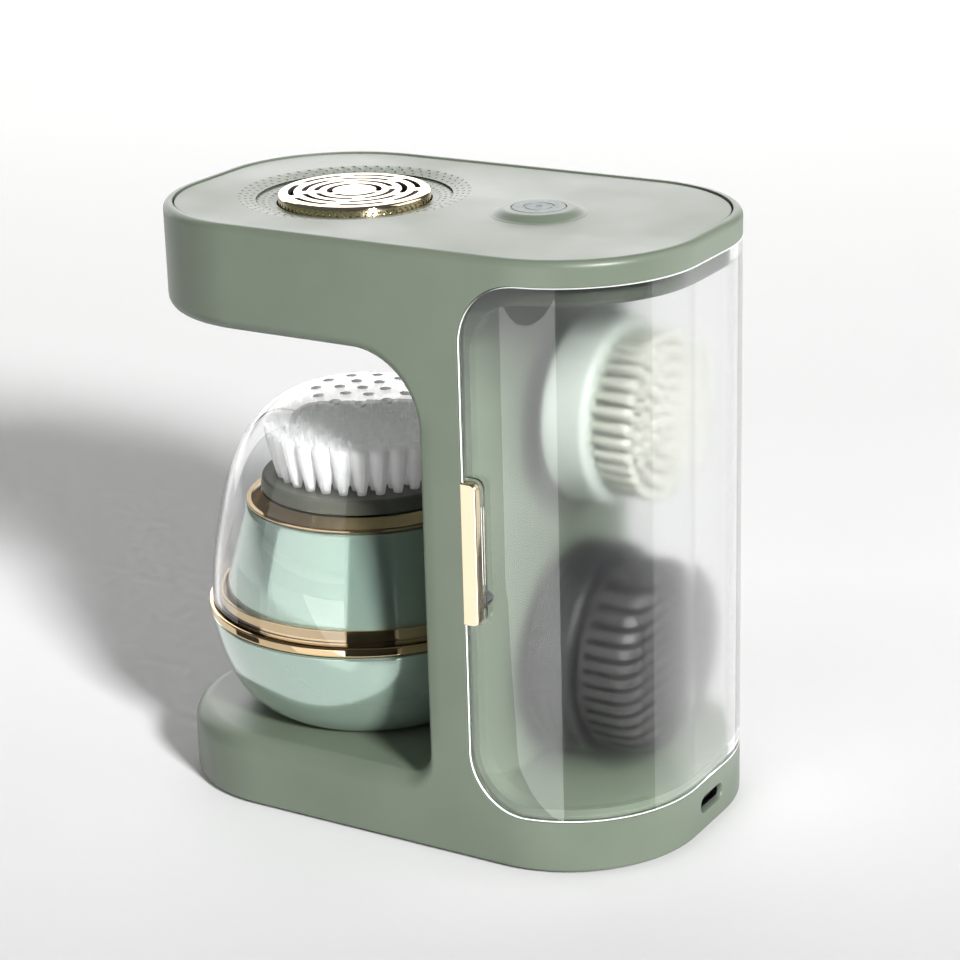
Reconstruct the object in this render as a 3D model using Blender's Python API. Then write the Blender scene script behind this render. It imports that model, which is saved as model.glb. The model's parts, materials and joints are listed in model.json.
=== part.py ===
"""Electric facial cleansing brush with its drying and charging dock.

Every constant is in millimetres, and MM turns a mesh into metres when it is made. The origin is the
centre of the dock's footprint on the table: +X points to the door end, -Y to the front and +Z up.
The brush stands in an open bay under the dock's arm. Two spare heads hang behind a curved door.
"""
import math

import bmesh
import bpy
from mathutils import Euler, Matrix, Vector

MM = 0.001
GAP = 0.3
SMOOTH_ANGLE = math.radians(35)
QUARTER = math.pi / 2

# How many straight steps stand for one full turn.
FULL = 32
ROUND = 24
SMALL = 12

# Dock.
DOCK_LENGTH = 130.0
DOCK_WIDTH = 78.4
DOCK_HEIGHT = 139.0
CORNER_RADIUS = 31.5
CORNER_STEPS = 8
FLOOR_GAP = 0.8
BOTTOM_FILLET = 1.0
RIM_FILLET = 1.6
RIM_WIDTH = 2.1
WALL = 4.2
HALF_LENGTH = DOCK_LENGTH / 2
HALF_WIDTH = DOCK_WIDTH / 2

# Bay that holds the brush.
BAY_WALL_X = 14.4
ARM_UNDERSIDE = 115.0
DECK_TOP = 16.8
BAY_UPPER_FILLET = 17.0
BAY_LOWER_FILLET = 8.0
FILLET_STEPS = 6
THROUGH = 50.0

# Hollows of the housing.
ARM_FLOOR_TOP = ARM_UNDERSIDE + 3.0
ARM_CAVITY_END_X = 23.0
BUTTON_POCKET_END_X = 36.0
BUTTON_POCKET_HALF_WIDTH = 14.0
BUTTON_POCKET_FLOOR = 132.3
BASE_CEILING = 11.5
COIL_WELL_RADIUS = 20.0
COIL_WELL_TOP = DECK_TOP - 2.5
DUCT_X = (17.4, 22.4)
DUCT_HALF_WIDTH = 8.0

# Top panel with its dish and its raised button pad.
PANEL_SEAT = 136.2
PANEL_TOP = DOCK_HEIGHT - GAP
PANEL_UNDERSIDE = PANEL_SEAT + GAP
PANEL_BOSS_RADIUS = 29.0
PANEL_BOSS_BOTTOM = 133.8
DISH_RADIUS = 26.5
DISH_FLOOR_RADIUS = 18.2
DISH_DEPTH = 1.7
VENT_RADIUS = 0.8
VENT_CIRCLE = 22.3
VENT_COUNT = 12
PAD_X = 23.0
PAD_RADIUS = 10.8
PAD_TOP_RADIUS = 7.5
PAD_HEIGHT = 1.3
PAD_STEP = 0.05
PAD_TOP = PANEL_TOP + PAD_STEP + PAD_HEIGHT
BUTTON_RADIUS = 6.0

# Spare-head compartment and its door.
DOOR_EDGE_X = 24.8
DOOR_BOTTOM = 12.8
DOOR_TOP = 133.5
DOOR_CORNER_RADIUS = 14.0
DOOR_THICKNESS = 2.5
DOOR_CORNER_STEPS = 5
COMPARTMENT_X = 26.8
COMPARTMENT_FLOOR = 15.2
COMPARTMENT_CEILING = 129.0
COMPARTMENT_FILLET = 12.0
HINGE_X = 27.2
HINGE_Y = 37.0
HINGE_JAMB_X = 24.4
KNUCKLE_RADIUS = 2.1
HINGE_WELL_RADIUS = 2.8
PIN_RADIUS = 0.9
PIN_BORE_RADIUS = PIN_RADIUS + GAP
PIN_ENGAGEMENT = 6.0
LOWER_PIN_START = 7.0
HANDLE_X = (26.5, 30.4)
HANDLE_Z = (58.1, 90.4)
HANDLE_PROUD = 3.0
HANDLE_CORNER = 1.6
TONGUE_X = (27.4, 29.4)
TONGUE_Z = (67.0, 84.0)
LATCH_X = 28.0
LATCH_Z = 62.0
LATCH_RIB_REACH = 2.4
LATCH_RIB_HALF_HEIGHT = 3.0
LATCH_RIB_DEPTH = 4.6
MAGNET_RADIUS = 1.4

# Brush: heights are above the table, radii are about the brush's axis.
BRUSH_X = -24.7
BRUSH_BOTTOM = DECK_TOP + GAP
SHELL_WALL = 1.8
LOWER_RADIUS = 38.0
LOWER_TOP = 40.3
LOWER_DEPTH = 25.5
LOWER_STEPS = 6
BAND_RADIUS = 38.3
BAND_TOP = 42.8
SEAT_RADII = (34.7, 35.6)
SEAT_TOP = 46.2
UPPER_RADIUS = 34.3
UPPER_TOP_RADIUS = 28.2
UPPER_TOP = 66.4
UPPER_CURVE = 1.35
UPPER_STEPS = 4
FLANGE_RADIUS = 20.0
RING_TOP_RADIUS = 24.6
RING_TOP = 69.2
DOME_RADIUS = 37.5
DOME_HEIGHT = 49.4
DOME_WALL = 1.5
DOME_STEPS = 8
DOME_HOLE_RADIUS = 1.15
DOME_HOLE_CIRCLES = ((0.0, 1), (5.5, 6), (10.0, 12))

# Drive train inside the brush.
MODULE = 0.5
GEAR_TEETH = 30
PINION_TEETH = 10
CENTRE_DISTANCE = MODULE * (GEAR_TEETH + PINION_TEETH) / 2
GEAR_Z = (62.3, 65.3)
SHAFT_RADIUS = 2.0
CHASSIS_Z = (59.5, 61.5)
MOTOR_RADIUS = 7.5
MOTOR_Z = (34.0, 59.2)
BUTTON_TILT = math.radians(14.7)
POWER_BUTTON_RADIUS = 4.8
POWER_BUTTON_Z = 54.0

# Brush heads: the one in use, and the two spares that hang on posts along X.
HEAD_RADIUS = 24.6
HEAD_Z = (RING_TOP + GAP, 73.0)
TUFT_ROOT_RADIUS = 20.0
TUFT_TIP_RADIUS = 22.8
TUFT_TOP = 88.0
POST_RADIUS = 3.0
POST_REACH = 6.9
POST_ROOT_X = 24.3
COLLAR_RADIUS = 6.0
UPPER_SPARE_X = 34.0
UPPER_SPARE_Z = 97.0
LOWER_SPARE_X = 31.5
LOWER_SPARE_Z = 40.0

# Fan under the filter cap.
FAN_HALF_SIDE = 20.0
FAN_BORE = 18.6
FAN_Z = (119.0, 128.0)
BLADE_COUNT = 7
CAP_RADIUS = 17.4
CAP_TOP = DOCK_HEIGHT + 0.2
CAP_BOTTOM = 132.0
CAP_PLATE = 1.3
CAP_SLOT_RINGS = ((7.3, 4), (11.0, 5), (14.4, 6))
CAP_SLOT_WIDTH = 1.1
CAP_SLOT_SPACING = 2.6
OUTLET_RADIUS = 17.5

# Fixed pieces of the dock's base. The USB opening is in the end wall.
USB_Z = 7.4
FEET = ((-48.0, -20.0), (48.0, -20.0), (-48.0, 20.0), (48.0, 20.0))
FOOT_NAMES = ("foot_front_left", "foot_front_right", "foot_rear_left", "foot_rear_right")
FOOT_RADIUS = 5.0
GRIP_PAD_RADIUS = 9.0
SCREWS = ((-30.0, -27.0), (30.0, -27.0), (-30.0, 27.0), (30.0, 27.0))
SCREW_NAMES = ("screw_front_left", "screw_front_right", "screw_rear_left", "screw_rear_right")
BOSS_RADIUS = 3.6


# ---- materials ----

def material(name, color, roughness, metallic=0.0, transmission=0.0):
    made = bpy.data.materials.new(name)
    made.use_nodes = True
    shader = made.node_tree.nodes["Principled BSDF"]
    shader.inputs["Base Color"].default_value = (*color, 1.0)
    shader.inputs["Roughness"].default_value = roughness
    shader.inputs["Metallic"].default_value = metallic
    shader.inputs["Transmission Weight"].default_value = transmission
    made.diffuse_color = (*color, 1.0)
    return made


def make_materials():
    return {
        "sage": material("sage_plastic", (0.27, 0.33, 0.25), 0.45),
        "mint": material("mint_pearl", (0.36, 0.50, 0.43), 0.22, metallic=0.3),
        "gold": material("pale_gold", (0.83, 0.66, 0.40), 0.16, metallic=1.0),
        "clear": material("clear_plastic", (0.95, 0.97, 0.96), 0.05, transmission=0.9),
        "frosted": material("frosted_plastic", (0.85, 0.88, 0.87), 0.4, transmission=0.7),
        "white": material("white_bristle", (0.90, 0.90, 0.88), 0.6),
        "charcoal": material("charcoal_bristle", (0.05, 0.05, 0.055), 0.6),
        "steel": material("steel", (0.60, 0.60, 0.62), 0.3, metallic=1.0),
        "rubber": material("rubber", (0.06, 0.06, 0.06), 0.8),
        "board": material("circuit_board", (0.03, 0.16, 0.09), 0.5),
        "copper": material("copper", (0.72, 0.36, 0.20), 0.35, metallic=1.0),
        "dark": material("dark_plastic", (0.08, 0.08, 0.085), 0.5),
    }


# ---- shapes: each is a list of points in millimetres and a list of faces ----

def loft_shape(loops):
    """Joins loops of equal length in order, and closes both ends."""
    steps = len(loops[0])
    points = [point for loop in loops for point in loop]
    faces = [list(reversed(range(steps)))]
    for level in range(len(loops) - 1):
        start = level * steps
        for index in range(steps):
            after = (index + 1) % steps
            faces.append([start + index, start + after, start + steps + after, start + steps + index])
    faces.append(list(range(len(points) - steps, len(points))))
    return points, faces


def lathe_shape(profile, steps=ROUND):
    """Turns (radius, z) points about Z. A profile that doesn't start and end on the axis is a ring."""
    points = []
    rings = []
    for radius, z in profile:
        count = steps if radius > 0 else 1
        rings.append(range(len(points), len(points) + count))
        turns = [2 * math.pi * index / steps for index in range(count)]
        points += [(radius * math.cos(turn), radius * math.sin(turn), z) for turn in turns]
    pairs = list(zip(rings, rings[1:]))
    if profile[0][0] > 0:
        pairs.append((rings[-1], rings[0]))
    faces = []
    for low, high in pairs:
        for index in range(max(len(low), len(high))):
            corners = [low[index % len(low)], low[(index + 1) % len(low)]]
            corners += [high[(index + 1) % len(high)], high[index % len(high)]]
            faces.append(list(dict.fromkeys(corners)))
    return points, faces


def prism_shape(outline, low, high):
    return loft_shape([[(x, y, z) for x, y in outline] for z in (low, high)])


def box_shape(x_range, y_range, z_range):
    (x0, x1), (y0, y1) = x_range, y_range
    return prism_shape([(x0, y0), (x1, y0), (x1, y1), (x0, y1)], *z_range)


def rod_shape(radius, low, high, steps=SMALL):
    return lathe_shape([(0, low), (radius, low), (radius, high), (0, high)], steps)


def ring_shape(inner, outer, low, high, steps=ROUND):
    return lathe_shape([(inner, low), (outer, low), (outer, high), (inner, high)], steps)


def stepped_shape(levels):
    """A block of rectangles (z, half x, half y) stacked in order."""
    loops = [[(-x, -y, z), (x, -y, z), (x, y, z), (-x, y, z)] for z, x, y in levels]
    return loft_shape(loops)


def arc_slot_shape(inner, outer, start, end, low, high, steps=4):
    """A curved slot between two radii and two angles."""
    turns = [start + (end - start) * index / steps for index in range(steps + 1)]
    outline = [(outer * math.cos(turn), outer * math.sin(turn)) for turn in turns]
    outline += [(inner * math.cos(turn), inner * math.sin(turn)) for turn in reversed(turns)]
    return prism_shape(outline, low, high)


def moved(shape, at=(0, 0, 0), turn=(0, 0, 0)):
    points, faces = shape
    placing = Matrix.Translation(Vector(at)) @ Euler(turn).to_matrix().to_4x4()
    return [tuple(placing @ Vector(point)) for point in points], faces


def grouped(shapes):
    """Several separate shapes as one, for a cutter that makes several holes."""
    points, faces = [], []
    for more_points, more_faces in shapes:
        faces += [[corner + len(points) for corner in face] for face in more_faces]
        points += more_points
    return points, faces


# ---- objects ----

def add(name, shape, look=None, at=(0, 0, 0), turn=(0, 0, 0)):
    points, faces = shape
    mesh = bpy.data.meshes.new(name)
    mesh.from_pydata([Vector(point) * MM for point in points], [], faces)
    body = bmesh.new()
    body.from_mesh(mesh)
    bmesh.ops.recalc_face_normals(body, faces=body.faces)
    body.to_mesh(mesh)
    body.free()
    mesh.shade_smooth()
    mesh.set_sharp_from_angle(angle=SMOOTH_ANGLE)
    if look:
        mesh.materials.append(look)
    piece = bpy.data.objects.new(name, mesh)
    piece.location = Vector(at) * MM
    piece.rotation_euler = turn
    bpy.context.scene.collection.objects.link(piece)
    return piece


def helper(name, shape, at=(0, 0, 0), turn=(0, 0, 0)):
    tool = add("helper_" + name, shape, at=at, turn=turn)
    tool.hide_render = True
    tool.display_type = "WIRE"
    return tool


def combine(piece, operation, tools):
    for tool in tools:
        step = piece.modifiers.new(tool.name, "BOOLEAN")
        step.operation = operation
        step.object = tool
    return piece


def cut(piece, *tools):
    return combine(piece, "DIFFERENCE", tools)


def weld(piece, *tools):
    return combine(piece, "UNION", tools)


def pivot(name, at, pieces):
    """Parents the pieces to an empty on their joint's axis, without moving them."""
    axis = bpy.data.objects.new(name, None)
    axis.location = Vector(at) * MM
    bpy.context.scene.collection.objects.link(axis)
    for piece in pieces:
        piece.parent = axis
        piece.matrix_parent_inverse = Matrix.Translation(-axis.location)
    return axis


# ---- outlines and profiles ----

def dock_outline(inset):
    """The dock's plan: a rectangle with large round corners, moved inwards by inset."""
    radius = CORNER_RADIUS - inset
    middle_x = HALF_LENGTH - CORNER_RADIUS
    middle_y = HALF_WIDTH - CORNER_RADIUS
    outline = []
    for quarter, (side_x, side_y) in enumerate(((1, 1), (-1, 1), (-1, -1), (1, -1))):
        for index in range(CORNER_STEPS + 1):
            turn = QUARTER * (quarter + index / CORNER_STEPS)
            x = side_x * middle_x + radius * math.cos(turn)
            outline.append((x, side_y * middle_y + radius * math.sin(turn)))
    return outline


def left_of(outline, limit):
    """The part of an outline that lies on the -X side of a limit."""
    kept = [point for point in outline if point[0] < limit]
    half = max(y for _, y in kept)
    return kept + [(limit, -half), (limit, half)]


def fillet_points(centre, radius, start, end, steps):
    turns = [start + (end - start) * index / steps for index in range(steps + 1)]
    return [(centre[0] + radius * math.cos(turn), centre[1] + radius * math.sin(turn)) for turn in turns]


def along_y(outline, low, high):
    """A prism whose outline lies in X and Z, and which runs along Y."""
    return loft_shape([[(x, y, z) for x, z in outline] for y in (low, high)])


def bulge(radius, height, radius_power, height_power, last, steps):
    """(radius, rise) points of a rounded cup: full radius at rise 0, narrowing to its end."""
    points = []
    for index in range(steps + 1):
        turn = last * index / steps
        narrowing = max(math.cos(turn), 0.0) ** (2 / radius_power)
        points.append((radius * narrowing, height * math.sin(turn) ** (2 / height_power)))
    return points


def inner_wall(profile, thickness):
    """The profile moved inwards by the thickness, square to itself at each point."""
    inner = []
    for index, (radius, z) in enumerate(profile):
        before = Vector(profile[max(index - 1, 0)])
        after = Vector(profile[min(index + 1, len(profile) - 1)])
        along = (after - before).normalized()
        inner.append((radius - thickness * abs(along.y), z - thickness * -along.x))
    return inner


def dome_profile():
    rise = bulge(DOME_RADIUS, DOME_HEIGHT, 3.93, 1.59, QUARTER, DOME_STEPS)
    base = BAND_TOP + GAP
    outer = [(radius, base + z) for radius, z in rise[:-1]] + [(0, base + DOME_HEIGHT)]
    return outer


def upper_shell_radius(z):
    share = (z - BAND_TOP) / (UPPER_TOP - BAND_TOP)
    return UPPER_RADIUS - (UPPER_RADIUS - UPPER_TOP_RADIUS) * share ** UPPER_CURVE


# ---- dock housing ----

def housing_blank():
    levels = [(FLOOR_GAP, BOTTOM_FILLET), (FLOOR_GAP + BOTTOM_FILLET, 0.0)]
    for share in range(4):
        turn = QUARTER * share / 3
        z = DOCK_HEIGHT - RIM_FILLET * (1 - math.sin(turn))
        levels.append((z, RIM_FILLET * (1 - math.cos(turn))))
    return loft_shape([[(x, y, z) for x, y in dock_outline(inset)] for z, inset in levels])


def bay_cutter():
    upper = (BAY_WALL_X - BAY_UPPER_FILLET, ARM_UNDERSIDE - BAY_UPPER_FILLET)
    lower = (BAY_WALL_X - BAY_LOWER_FILLET, DECK_TOP + BAY_LOWER_FILLET)
    outline = [(-HALF_LENGTH - WALL, ARM_UNDERSIDE), (-HALF_LENGTH - WALL, DECK_TOP)]
    outline += fillet_points(lower, BAY_LOWER_FILLET, -QUARTER, 0, FILLET_STEPS)
    outline += fillet_points(upper, BAY_UPPER_FILLET, 0, QUARTER, FILLET_STEPS)
    return helper("bay", along_y(outline, -THROUGH, THROUGH))


def cavity_cutters():
    seat = prism_shape(dock_outline(RIM_WIDTH), PANEL_SEAT, DOCK_HEIGHT + WALL)
    arm = prism_shape(left_of(dock_outline(WALL), ARM_CAVITY_END_X), ARM_FLOOR_TOP, PANEL_SEAT + GAP)
    pocket_x = (ARM_CAVITY_END_X - 1, BUTTON_POCKET_END_X)
    pocket_y = (-BUTTON_POCKET_HALF_WIDTH, BUTTON_POCKET_HALF_WIDTH)
    pocket = box_shape(pocket_x, pocket_y, (BUTTON_POCKET_FLOOR, PANEL_SEAT + 2 * GAP))
    duct_y = (-DUCT_HALF_WIDTH, DUCT_HALF_WIDTH)
    duct = box_shape(DUCT_X, duct_y, (BASE_CEILING - 1, ARM_FLOOR_TOP + 1))
    well = moved(rod_shape(COIL_WELL_RADIUS, BASE_CEILING - 1, COIL_WELL_TOP, ROUND), (BRUSH_X, 0, 0))
    shapes = {"panel_seat": seat, "arm_cavity": arm, "button_pocket": pocket}
    shapes.update({"duct": duct, "coil_well": well})
    return [helper(name, shape) for name, shape in shapes.items()]


def base_cavity_cutter():
    cavity = helper("base_cavity", prism_shape(dock_outline(WALL), -WALL, BASE_CEILING))
    boss = rod_shape(BOSS_RADIUS, 3.0 + GAP, BASE_CEILING + WALL)
    bosses = grouped([moved(boss, (x, y, 0)) for x, y in SCREWS])
    return cut(cavity, helper("screw_bosses", bosses))


def door_rungs(start_x, end_x, outside, inside, margin):
    """Sections across the door from its handle edge, round the end of the dock, to its hinge edge.

    The two corners at the handle edge are round, so a section near that edge is shorter.
    """
    outline = dock_outline(0.0)
    front = [point for point in outline if point[0] >= HALF_LENGTH - CORNER_RADIUS and point[1] < 0]
    back = [point for point in outline if point[0] >= HALF_LENGTH - CORNER_RADIUS and point[1] > 0]
    radius = DOOR_CORNER_RADIUS - margin
    turns = [QUARTER * index / DOOR_CORNER_STEPS for index in range(DOOR_CORNER_STEPS + 1)]
    edge = [(start_x + radius * (1 - math.cos(turn)), -HALF_WIDTH) for turn in turns]
    edge = [point for point in edge if point[0] < front[0][0]]
    path = edge + front + back + [(end_x, HALF_WIDTH)]
    middle_x = HALF_LENGTH - CORNER_RADIUS
    middle_y = HALF_WIDTH - CORNER_RADIUS
    rungs = []
    for x, y in path:
        toward = Vector((max(x - middle_x, 0.0), y - math.copysign(middle_y, y))).normalized()
        into = max(radius - (x - start_x), 0.0) if y < 0 else 0.0
        trim = radius - math.sqrt(radius ** 2 - into ** 2)
        low = DOOR_BOTTOM + margin + trim
        high = DOOR_TOP - margin - trim
        out_x, out_y = x + toward.x * outside, y + toward.y * outside
        in_x, in_y = x - toward.x * inside, y - toward.y * inside
        rungs.append([(out_x, out_y, low), (out_x, out_y, high), (in_x, in_y, high), (in_x, in_y, low)])
    return rungs


def compartment_cutters():
    band = loft_shape(door_rungs(DOOR_EDGE_X, HINGE_JAMB_X, 2.0, DOOR_THICKNESS + GAP, 0.0))
    low = (COMPARTMENT_X + COMPARTMENT_FILLET, COMPARTMENT_FLOOR + COMPARTMENT_FILLET)
    high = (COMPARTMENT_X + COMPARTMENT_FILLET, COMPARTMENT_CEILING - COMPARTMENT_FILLET)
    far = HALF_LENGTH + WALL
    outline = [(far, COMPARTMENT_FLOOR), (far, COMPARTMENT_CEILING)]
    outline += fillet_points(high, COMPARTMENT_FILLET, QUARTER, math.pi, FILLET_STEPS)
    outline += fillet_points(low, COMPARTMENT_FILLET, math.pi, 3 * QUARTER, FILLET_STEPS)
    mouth = along_y(outline, -HALF_WIDTH + 1.7, -HALF_WIDTH + 2 * WALL)
    room_y = (-HALF_WIDTH + 2 * WALL - 1, HALF_WIDTH - 1.7)
    room = box_shape((COMPARTMENT_X, far), room_y, (COMPARTMENT_FLOOR, COMPARTMENT_CEILING))
    well = moved(rod_shape(HINGE_WELL_RADIUS, DOOR_BOTTOM, DOOR_TOP, 16), (HINGE_X, HINGE_Y, 0))
    shapes = {"door_band": band, "door_mouth": mouth, "compartment": room, "hinge_well": well}
    return [helper(name, shape) for name, shape in shapes.items()]


def fixing_cutters():
    """Bores for the hinge pins, the head posts and the screws, all well apart from one another."""
    pins = rod_shape(PIN_BORE_RADIUS, LOWER_PIN_START - GAP, PANEL_SEAT - GAP)
    post = rod_shape(POST_RADIUS + GAP, 0, COMPARTMENT_X - POST_ROOT_X + 2 * GAP)
    holes = [moved(pins, (HINGE_X, HINGE_Y, 0))]
    for z in (UPPER_SPARE_Z, LOWER_SPARE_Z):
        holes.append(moved(post, (POST_ROOT_X - GAP, 0, z), (0, QUARTER, 0)))
    pilot = rod_shape(1.5, 2.0, 9.6)
    holes += [moved(pilot, (x, y, 0)) for x, y in SCREWS]
    return helper("fixing_bores", grouped(holes))


def arm_floor_cutters():
    outlet = rod_shape(OUTLET_RADIUS, ARM_UNDERSIDE - 2, ARM_FLOOR_TOP + 1, ROUND)
    lamp = box_shape((-54.3, -45.7), (-8.3, 8.3), (ARM_UNDERSIDE - 2, ARM_FLOOR_TOP + 1))
    return helper("arm_openings", grouped([moved(outlet, (BRUSH_X, 0, 0)), lamp]))


def stadium(half_width, half_height, steps=6):
    """A slot outline in Y and Z with round ends."""
    side = half_width - half_height
    outline = fillet_points((side, 0), half_height, -QUARTER, QUARTER, steps)
    return outline + fillet_points((-side, 0), half_height, QUARTER, 3 * QUARTER, steps)


def along_x(outline, centre_z, low, high):
    return loft_shape([[(x, y, centre_z + z) for y, z in outline] for x in (low, high)])


def usb_cutter():
    through = along_x(stadium(5.2, 1.7), USB_Z, HALF_LENGTH - 2 * WALL, HALF_LENGTH + 2)
    return helper("usb_slot", through)


def make_housing(looks):
    housing = add("dock_housing", housing_blank(), looks["sage"])
    cut(housing, bay_cutter(), *cavity_cutters(), base_cavity_cutter(), *compartment_cutters())
    front = -HALF_WIDTH + DOOR_THICKNESS + 2 * GAP
    rib_x = (COMPARTMENT_X - 1, LATCH_X + LATCH_RIB_REACH)
    rib_z = (LATCH_Z - LATCH_RIB_HALF_HEIGHT, LATCH_Z + LATCH_RIB_HALF_HEIGHT)
    rib = box_shape(rib_x, (front, front + LATCH_RIB_DEPTH), rib_z)
    weld(housing, helper("latch_rib", rib))
    pocket = rod_shape(MAGNET_RADIUS + GAP, front - 1, front + 3.2)
    pocket = moved(pocket, (LATCH_X, 0, LATCH_Z), (-QUARTER, 0, 0))
    cut(housing, helper("latch_pocket", pocket), fixing_cutters(), arm_floor_cutters(), usb_cutter())
    return housing


# ---- other fixed dock pieces ----

def make_top_panel(looks):
    plate = prism_shape(dock_outline(RIM_WIDTH + GAP), PANEL_UNDERSIDE, PANEL_TOP)
    panel = add("top_panel", plate, looks["sage"])
    dish_floor = PANEL_TOP - DISH_DEPTH
    boss = rod_shape(PANEL_BOSS_RADIUS, PANEL_BOSS_BOTTOM, dish_floor + 0.2, FULL)
    rise = DISH_DEPTH / (DISH_RADIUS - DISH_FLOOR_RADIUS)
    brim = DISH_RADIUS + 2
    dish = [(0, dish_floor), (DISH_FLOOR_RADIUS, dish_floor)]
    dish += [(brim, PANEL_TOP + 2 * rise), (0, PANEL_TOP + 3)]
    bore = rod_shape(CAP_RADIUS + GAP, PANEL_BOSS_BOTTOM - 1, PANEL_TOP + 1, ROUND)
    notch = box_shape((CAP_RADIUS - 1, CAP_RADIUS + 2), (-3, 3), (PANEL_BOSS_BOTTOM - 1, dish_floor - 0.8))
    notches = [moved(notch, turn=(0, 0, turn)) for turn in third_turns(0.0)]
    vent = rod_shape(VENT_RADIUS, PANEL_BOSS_BOTTOM - 1, PANEL_TOP + 1, 6)
    vents = []
    for index in range(VENT_COUNT):
        turn = 2 * math.pi * (index + 0.5) / VENT_COUNT
        vents.append(moved(vent, (VENT_CIRCLE * math.cos(turn), VENT_CIRCLE * math.sin(turn), 0)))
    place = (BRUSH_X, 0, 0)
    weld(panel, helper("panel_boss", boss, place), helper("button_pad", pad_shape(), (PAD_X, 0, 0)))
    cut(panel, helper("dish", lathe_shape(dish, FULL), place), helper("cap_bore", bore, place))
    cut(panel, helper("cap_notches", grouped(notches), place), helper("dish_vents", grouped(vents), place))
    button_bore = rod_shape(BUTTON_RADIUS + GAP, PANEL_UNDERSIDE - 1, PANEL_TOP + 3, 24)
    return cut(panel, helper("button_bore", button_bore, (PAD_X, 0, 0)))


def third_turns(first):
    return [first + index * math.tau / 3 for index in range(3)]


def pad_shape():
    """The raised pad round the button, with a soft edge."""
    steps = 4
    profile = [(0, PANEL_TOP - 0.6), (PAD_RADIUS, PANEL_TOP - 0.6)]
    for index in range(steps + 1):
        share = index / steps
        rise = (1 - math.cos(math.pi * share)) / 2
        radius = PAD_RADIUS + (PAD_TOP_RADIUS - PAD_RADIUS) * share
        profile.append((radius, PANEL_TOP + PAD_STEP + PAD_HEIGHT * rise))
    return lathe_shape(profile + [(0, PAD_TOP)], ROUND)


def make_base(looks):
    plate = add("base_plate", prism_shape(dock_outline(WALL + GAP), FLOOR_GAP, 3.0), looks["sage"])
    holes = [moved(rod_shape(FOOT_RADIUS + GAP, -1, 2.0, ROUND), (x, y, 0)) for x, y in FEET]
    holes.append(rod_shape(GRIP_PAD_RADIUS + GAP, -1, 2.0, ROUND))
    counterbore = [(0, -1), (2.9, -1), (2.9, 2.4), (1.5, 2.4), (1.5, 4.0), (0, 4.0)]
    holes += [moved(lathe_shape(counterbore, SMALL), (x, y, 0)) for x, y in SCREWS]
    cut(plate, helper("base_holes", grouped(holes)))
    for name, (x, y) in zip(FOOT_NAMES, FEET):
        foot = [(0, 0), (FOOT_RADIUS - 0.5, 0), (FOOT_RADIUS, 0.5), (FOOT_RADIUS, 1.7), (0, 1.7)]
        add(name, lathe_shape(foot, ROUND), looks["rubber"], (x, y, 0))
    pad = [(0, 0), (GRIP_PAD_RADIUS - 0.5, 0), (GRIP_PAD_RADIUS, 0.5), (GRIP_PAD_RADIUS, 1.7), (0, 1.7)]
    add("grip_pad", lathe_shape(pad, ROUND), looks["rubber"])
    screw = [(0, 1.0), (2.6, 1.0), (2.6, 2.1), (1.2, 2.1), (1.2, 9.2), (0, 9.2)]
    for name, (x, y) in zip(SCREW_NAMES, SCREWS):
        add(name, lathe_shape(screw, SMALL), looks["steel"], (x, y, 0))


def make_usb_socket(looks):
    front = HALF_LENGTH - 0.8
    socket = add("usb_socket", along_x(stadium(4.9, 1.4), USB_Z, front - 10, front), looks["steel"])
    mouth = helper("usb_mouth", along_x(stadium(4.5, 1.0), USB_Z, front - 7, front + 1))
    tongue = box_shape((front - 9, front - 1), (-3.2, 3.2), (USB_Z - 0.35, USB_Z + 0.35))
    cut(mouth, helper("usb_tongue", tongue))
    return cut(socket, mouth)


def make_electronics(looks):
    place = (BRUSH_X, 0, 0)
    add("charging_board", rod_shape(COIL_WELL_RADIUS - 0.6, 11.0, 12.2, ROUND), looks["board"], place)
    add("charging_coil", ring_shape(8.0, 17.0, 12.6, 13.9), looks["copper"], place)
    board_x = (2.0, 34.0)
    add("control_board", box_shape(board_x, (-12.0, 12.0), (132.6, 133.6)), looks["board"])
    switch = stepped_shape([(133.9, 3.0, 3.0), (134.6, 3.0, 3.0), (134.6, 1.4, 1.4), (135.0, 1.4, 1.4)])
    add("button_switch", switch, looks["dark"], (PAD_X, 0, 0))
    lamp = stepped_shape([(117.6, 2.5, 6.0), (118.6, 2.5, 6.0), (118.6, 4.8, 10.0), (119.6, 4.8, 10.0)])
    add("uv_lamp_board", lamp, looks["board"], (-50.0, 0, 0))
    add("uv_lens", stepped_shape([(115.3, 4.0, 8.0), (117.0, 3.6, 7.6)]), looks["clear"], (-50.0, 0, 0))


def make_wiring(looks):
    """One cable from the base, up the duct in the column, to the control board."""
    duct_x = sum(DUCT_X) / 2
    route = [(4.0, 8.0), (duct_x, 8.0), (duct_x, 128.0), (8.0, 128.0)]
    curve = bpy.data.curves.new("wiring_cable", "CURVE")
    curve.dimensions = "3D"
    curve.bevel_depth = 1.1 * MM
    curve.bevel_resolution = 1
    curve.use_fill_caps = True
    line = curve.splines.new("POLY")
    line.points.add(len(route) - 1)
    for point, (x, z) in zip(line.points, route):
        point.co = (x * MM, 0, z * MM, 1)
    curve.materials.append(looks["dark"])
    cable = bpy.data.objects.new("wiring_cable", curve)
    bpy.context.scene.collection.objects.link(cable)
    return cable


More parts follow.
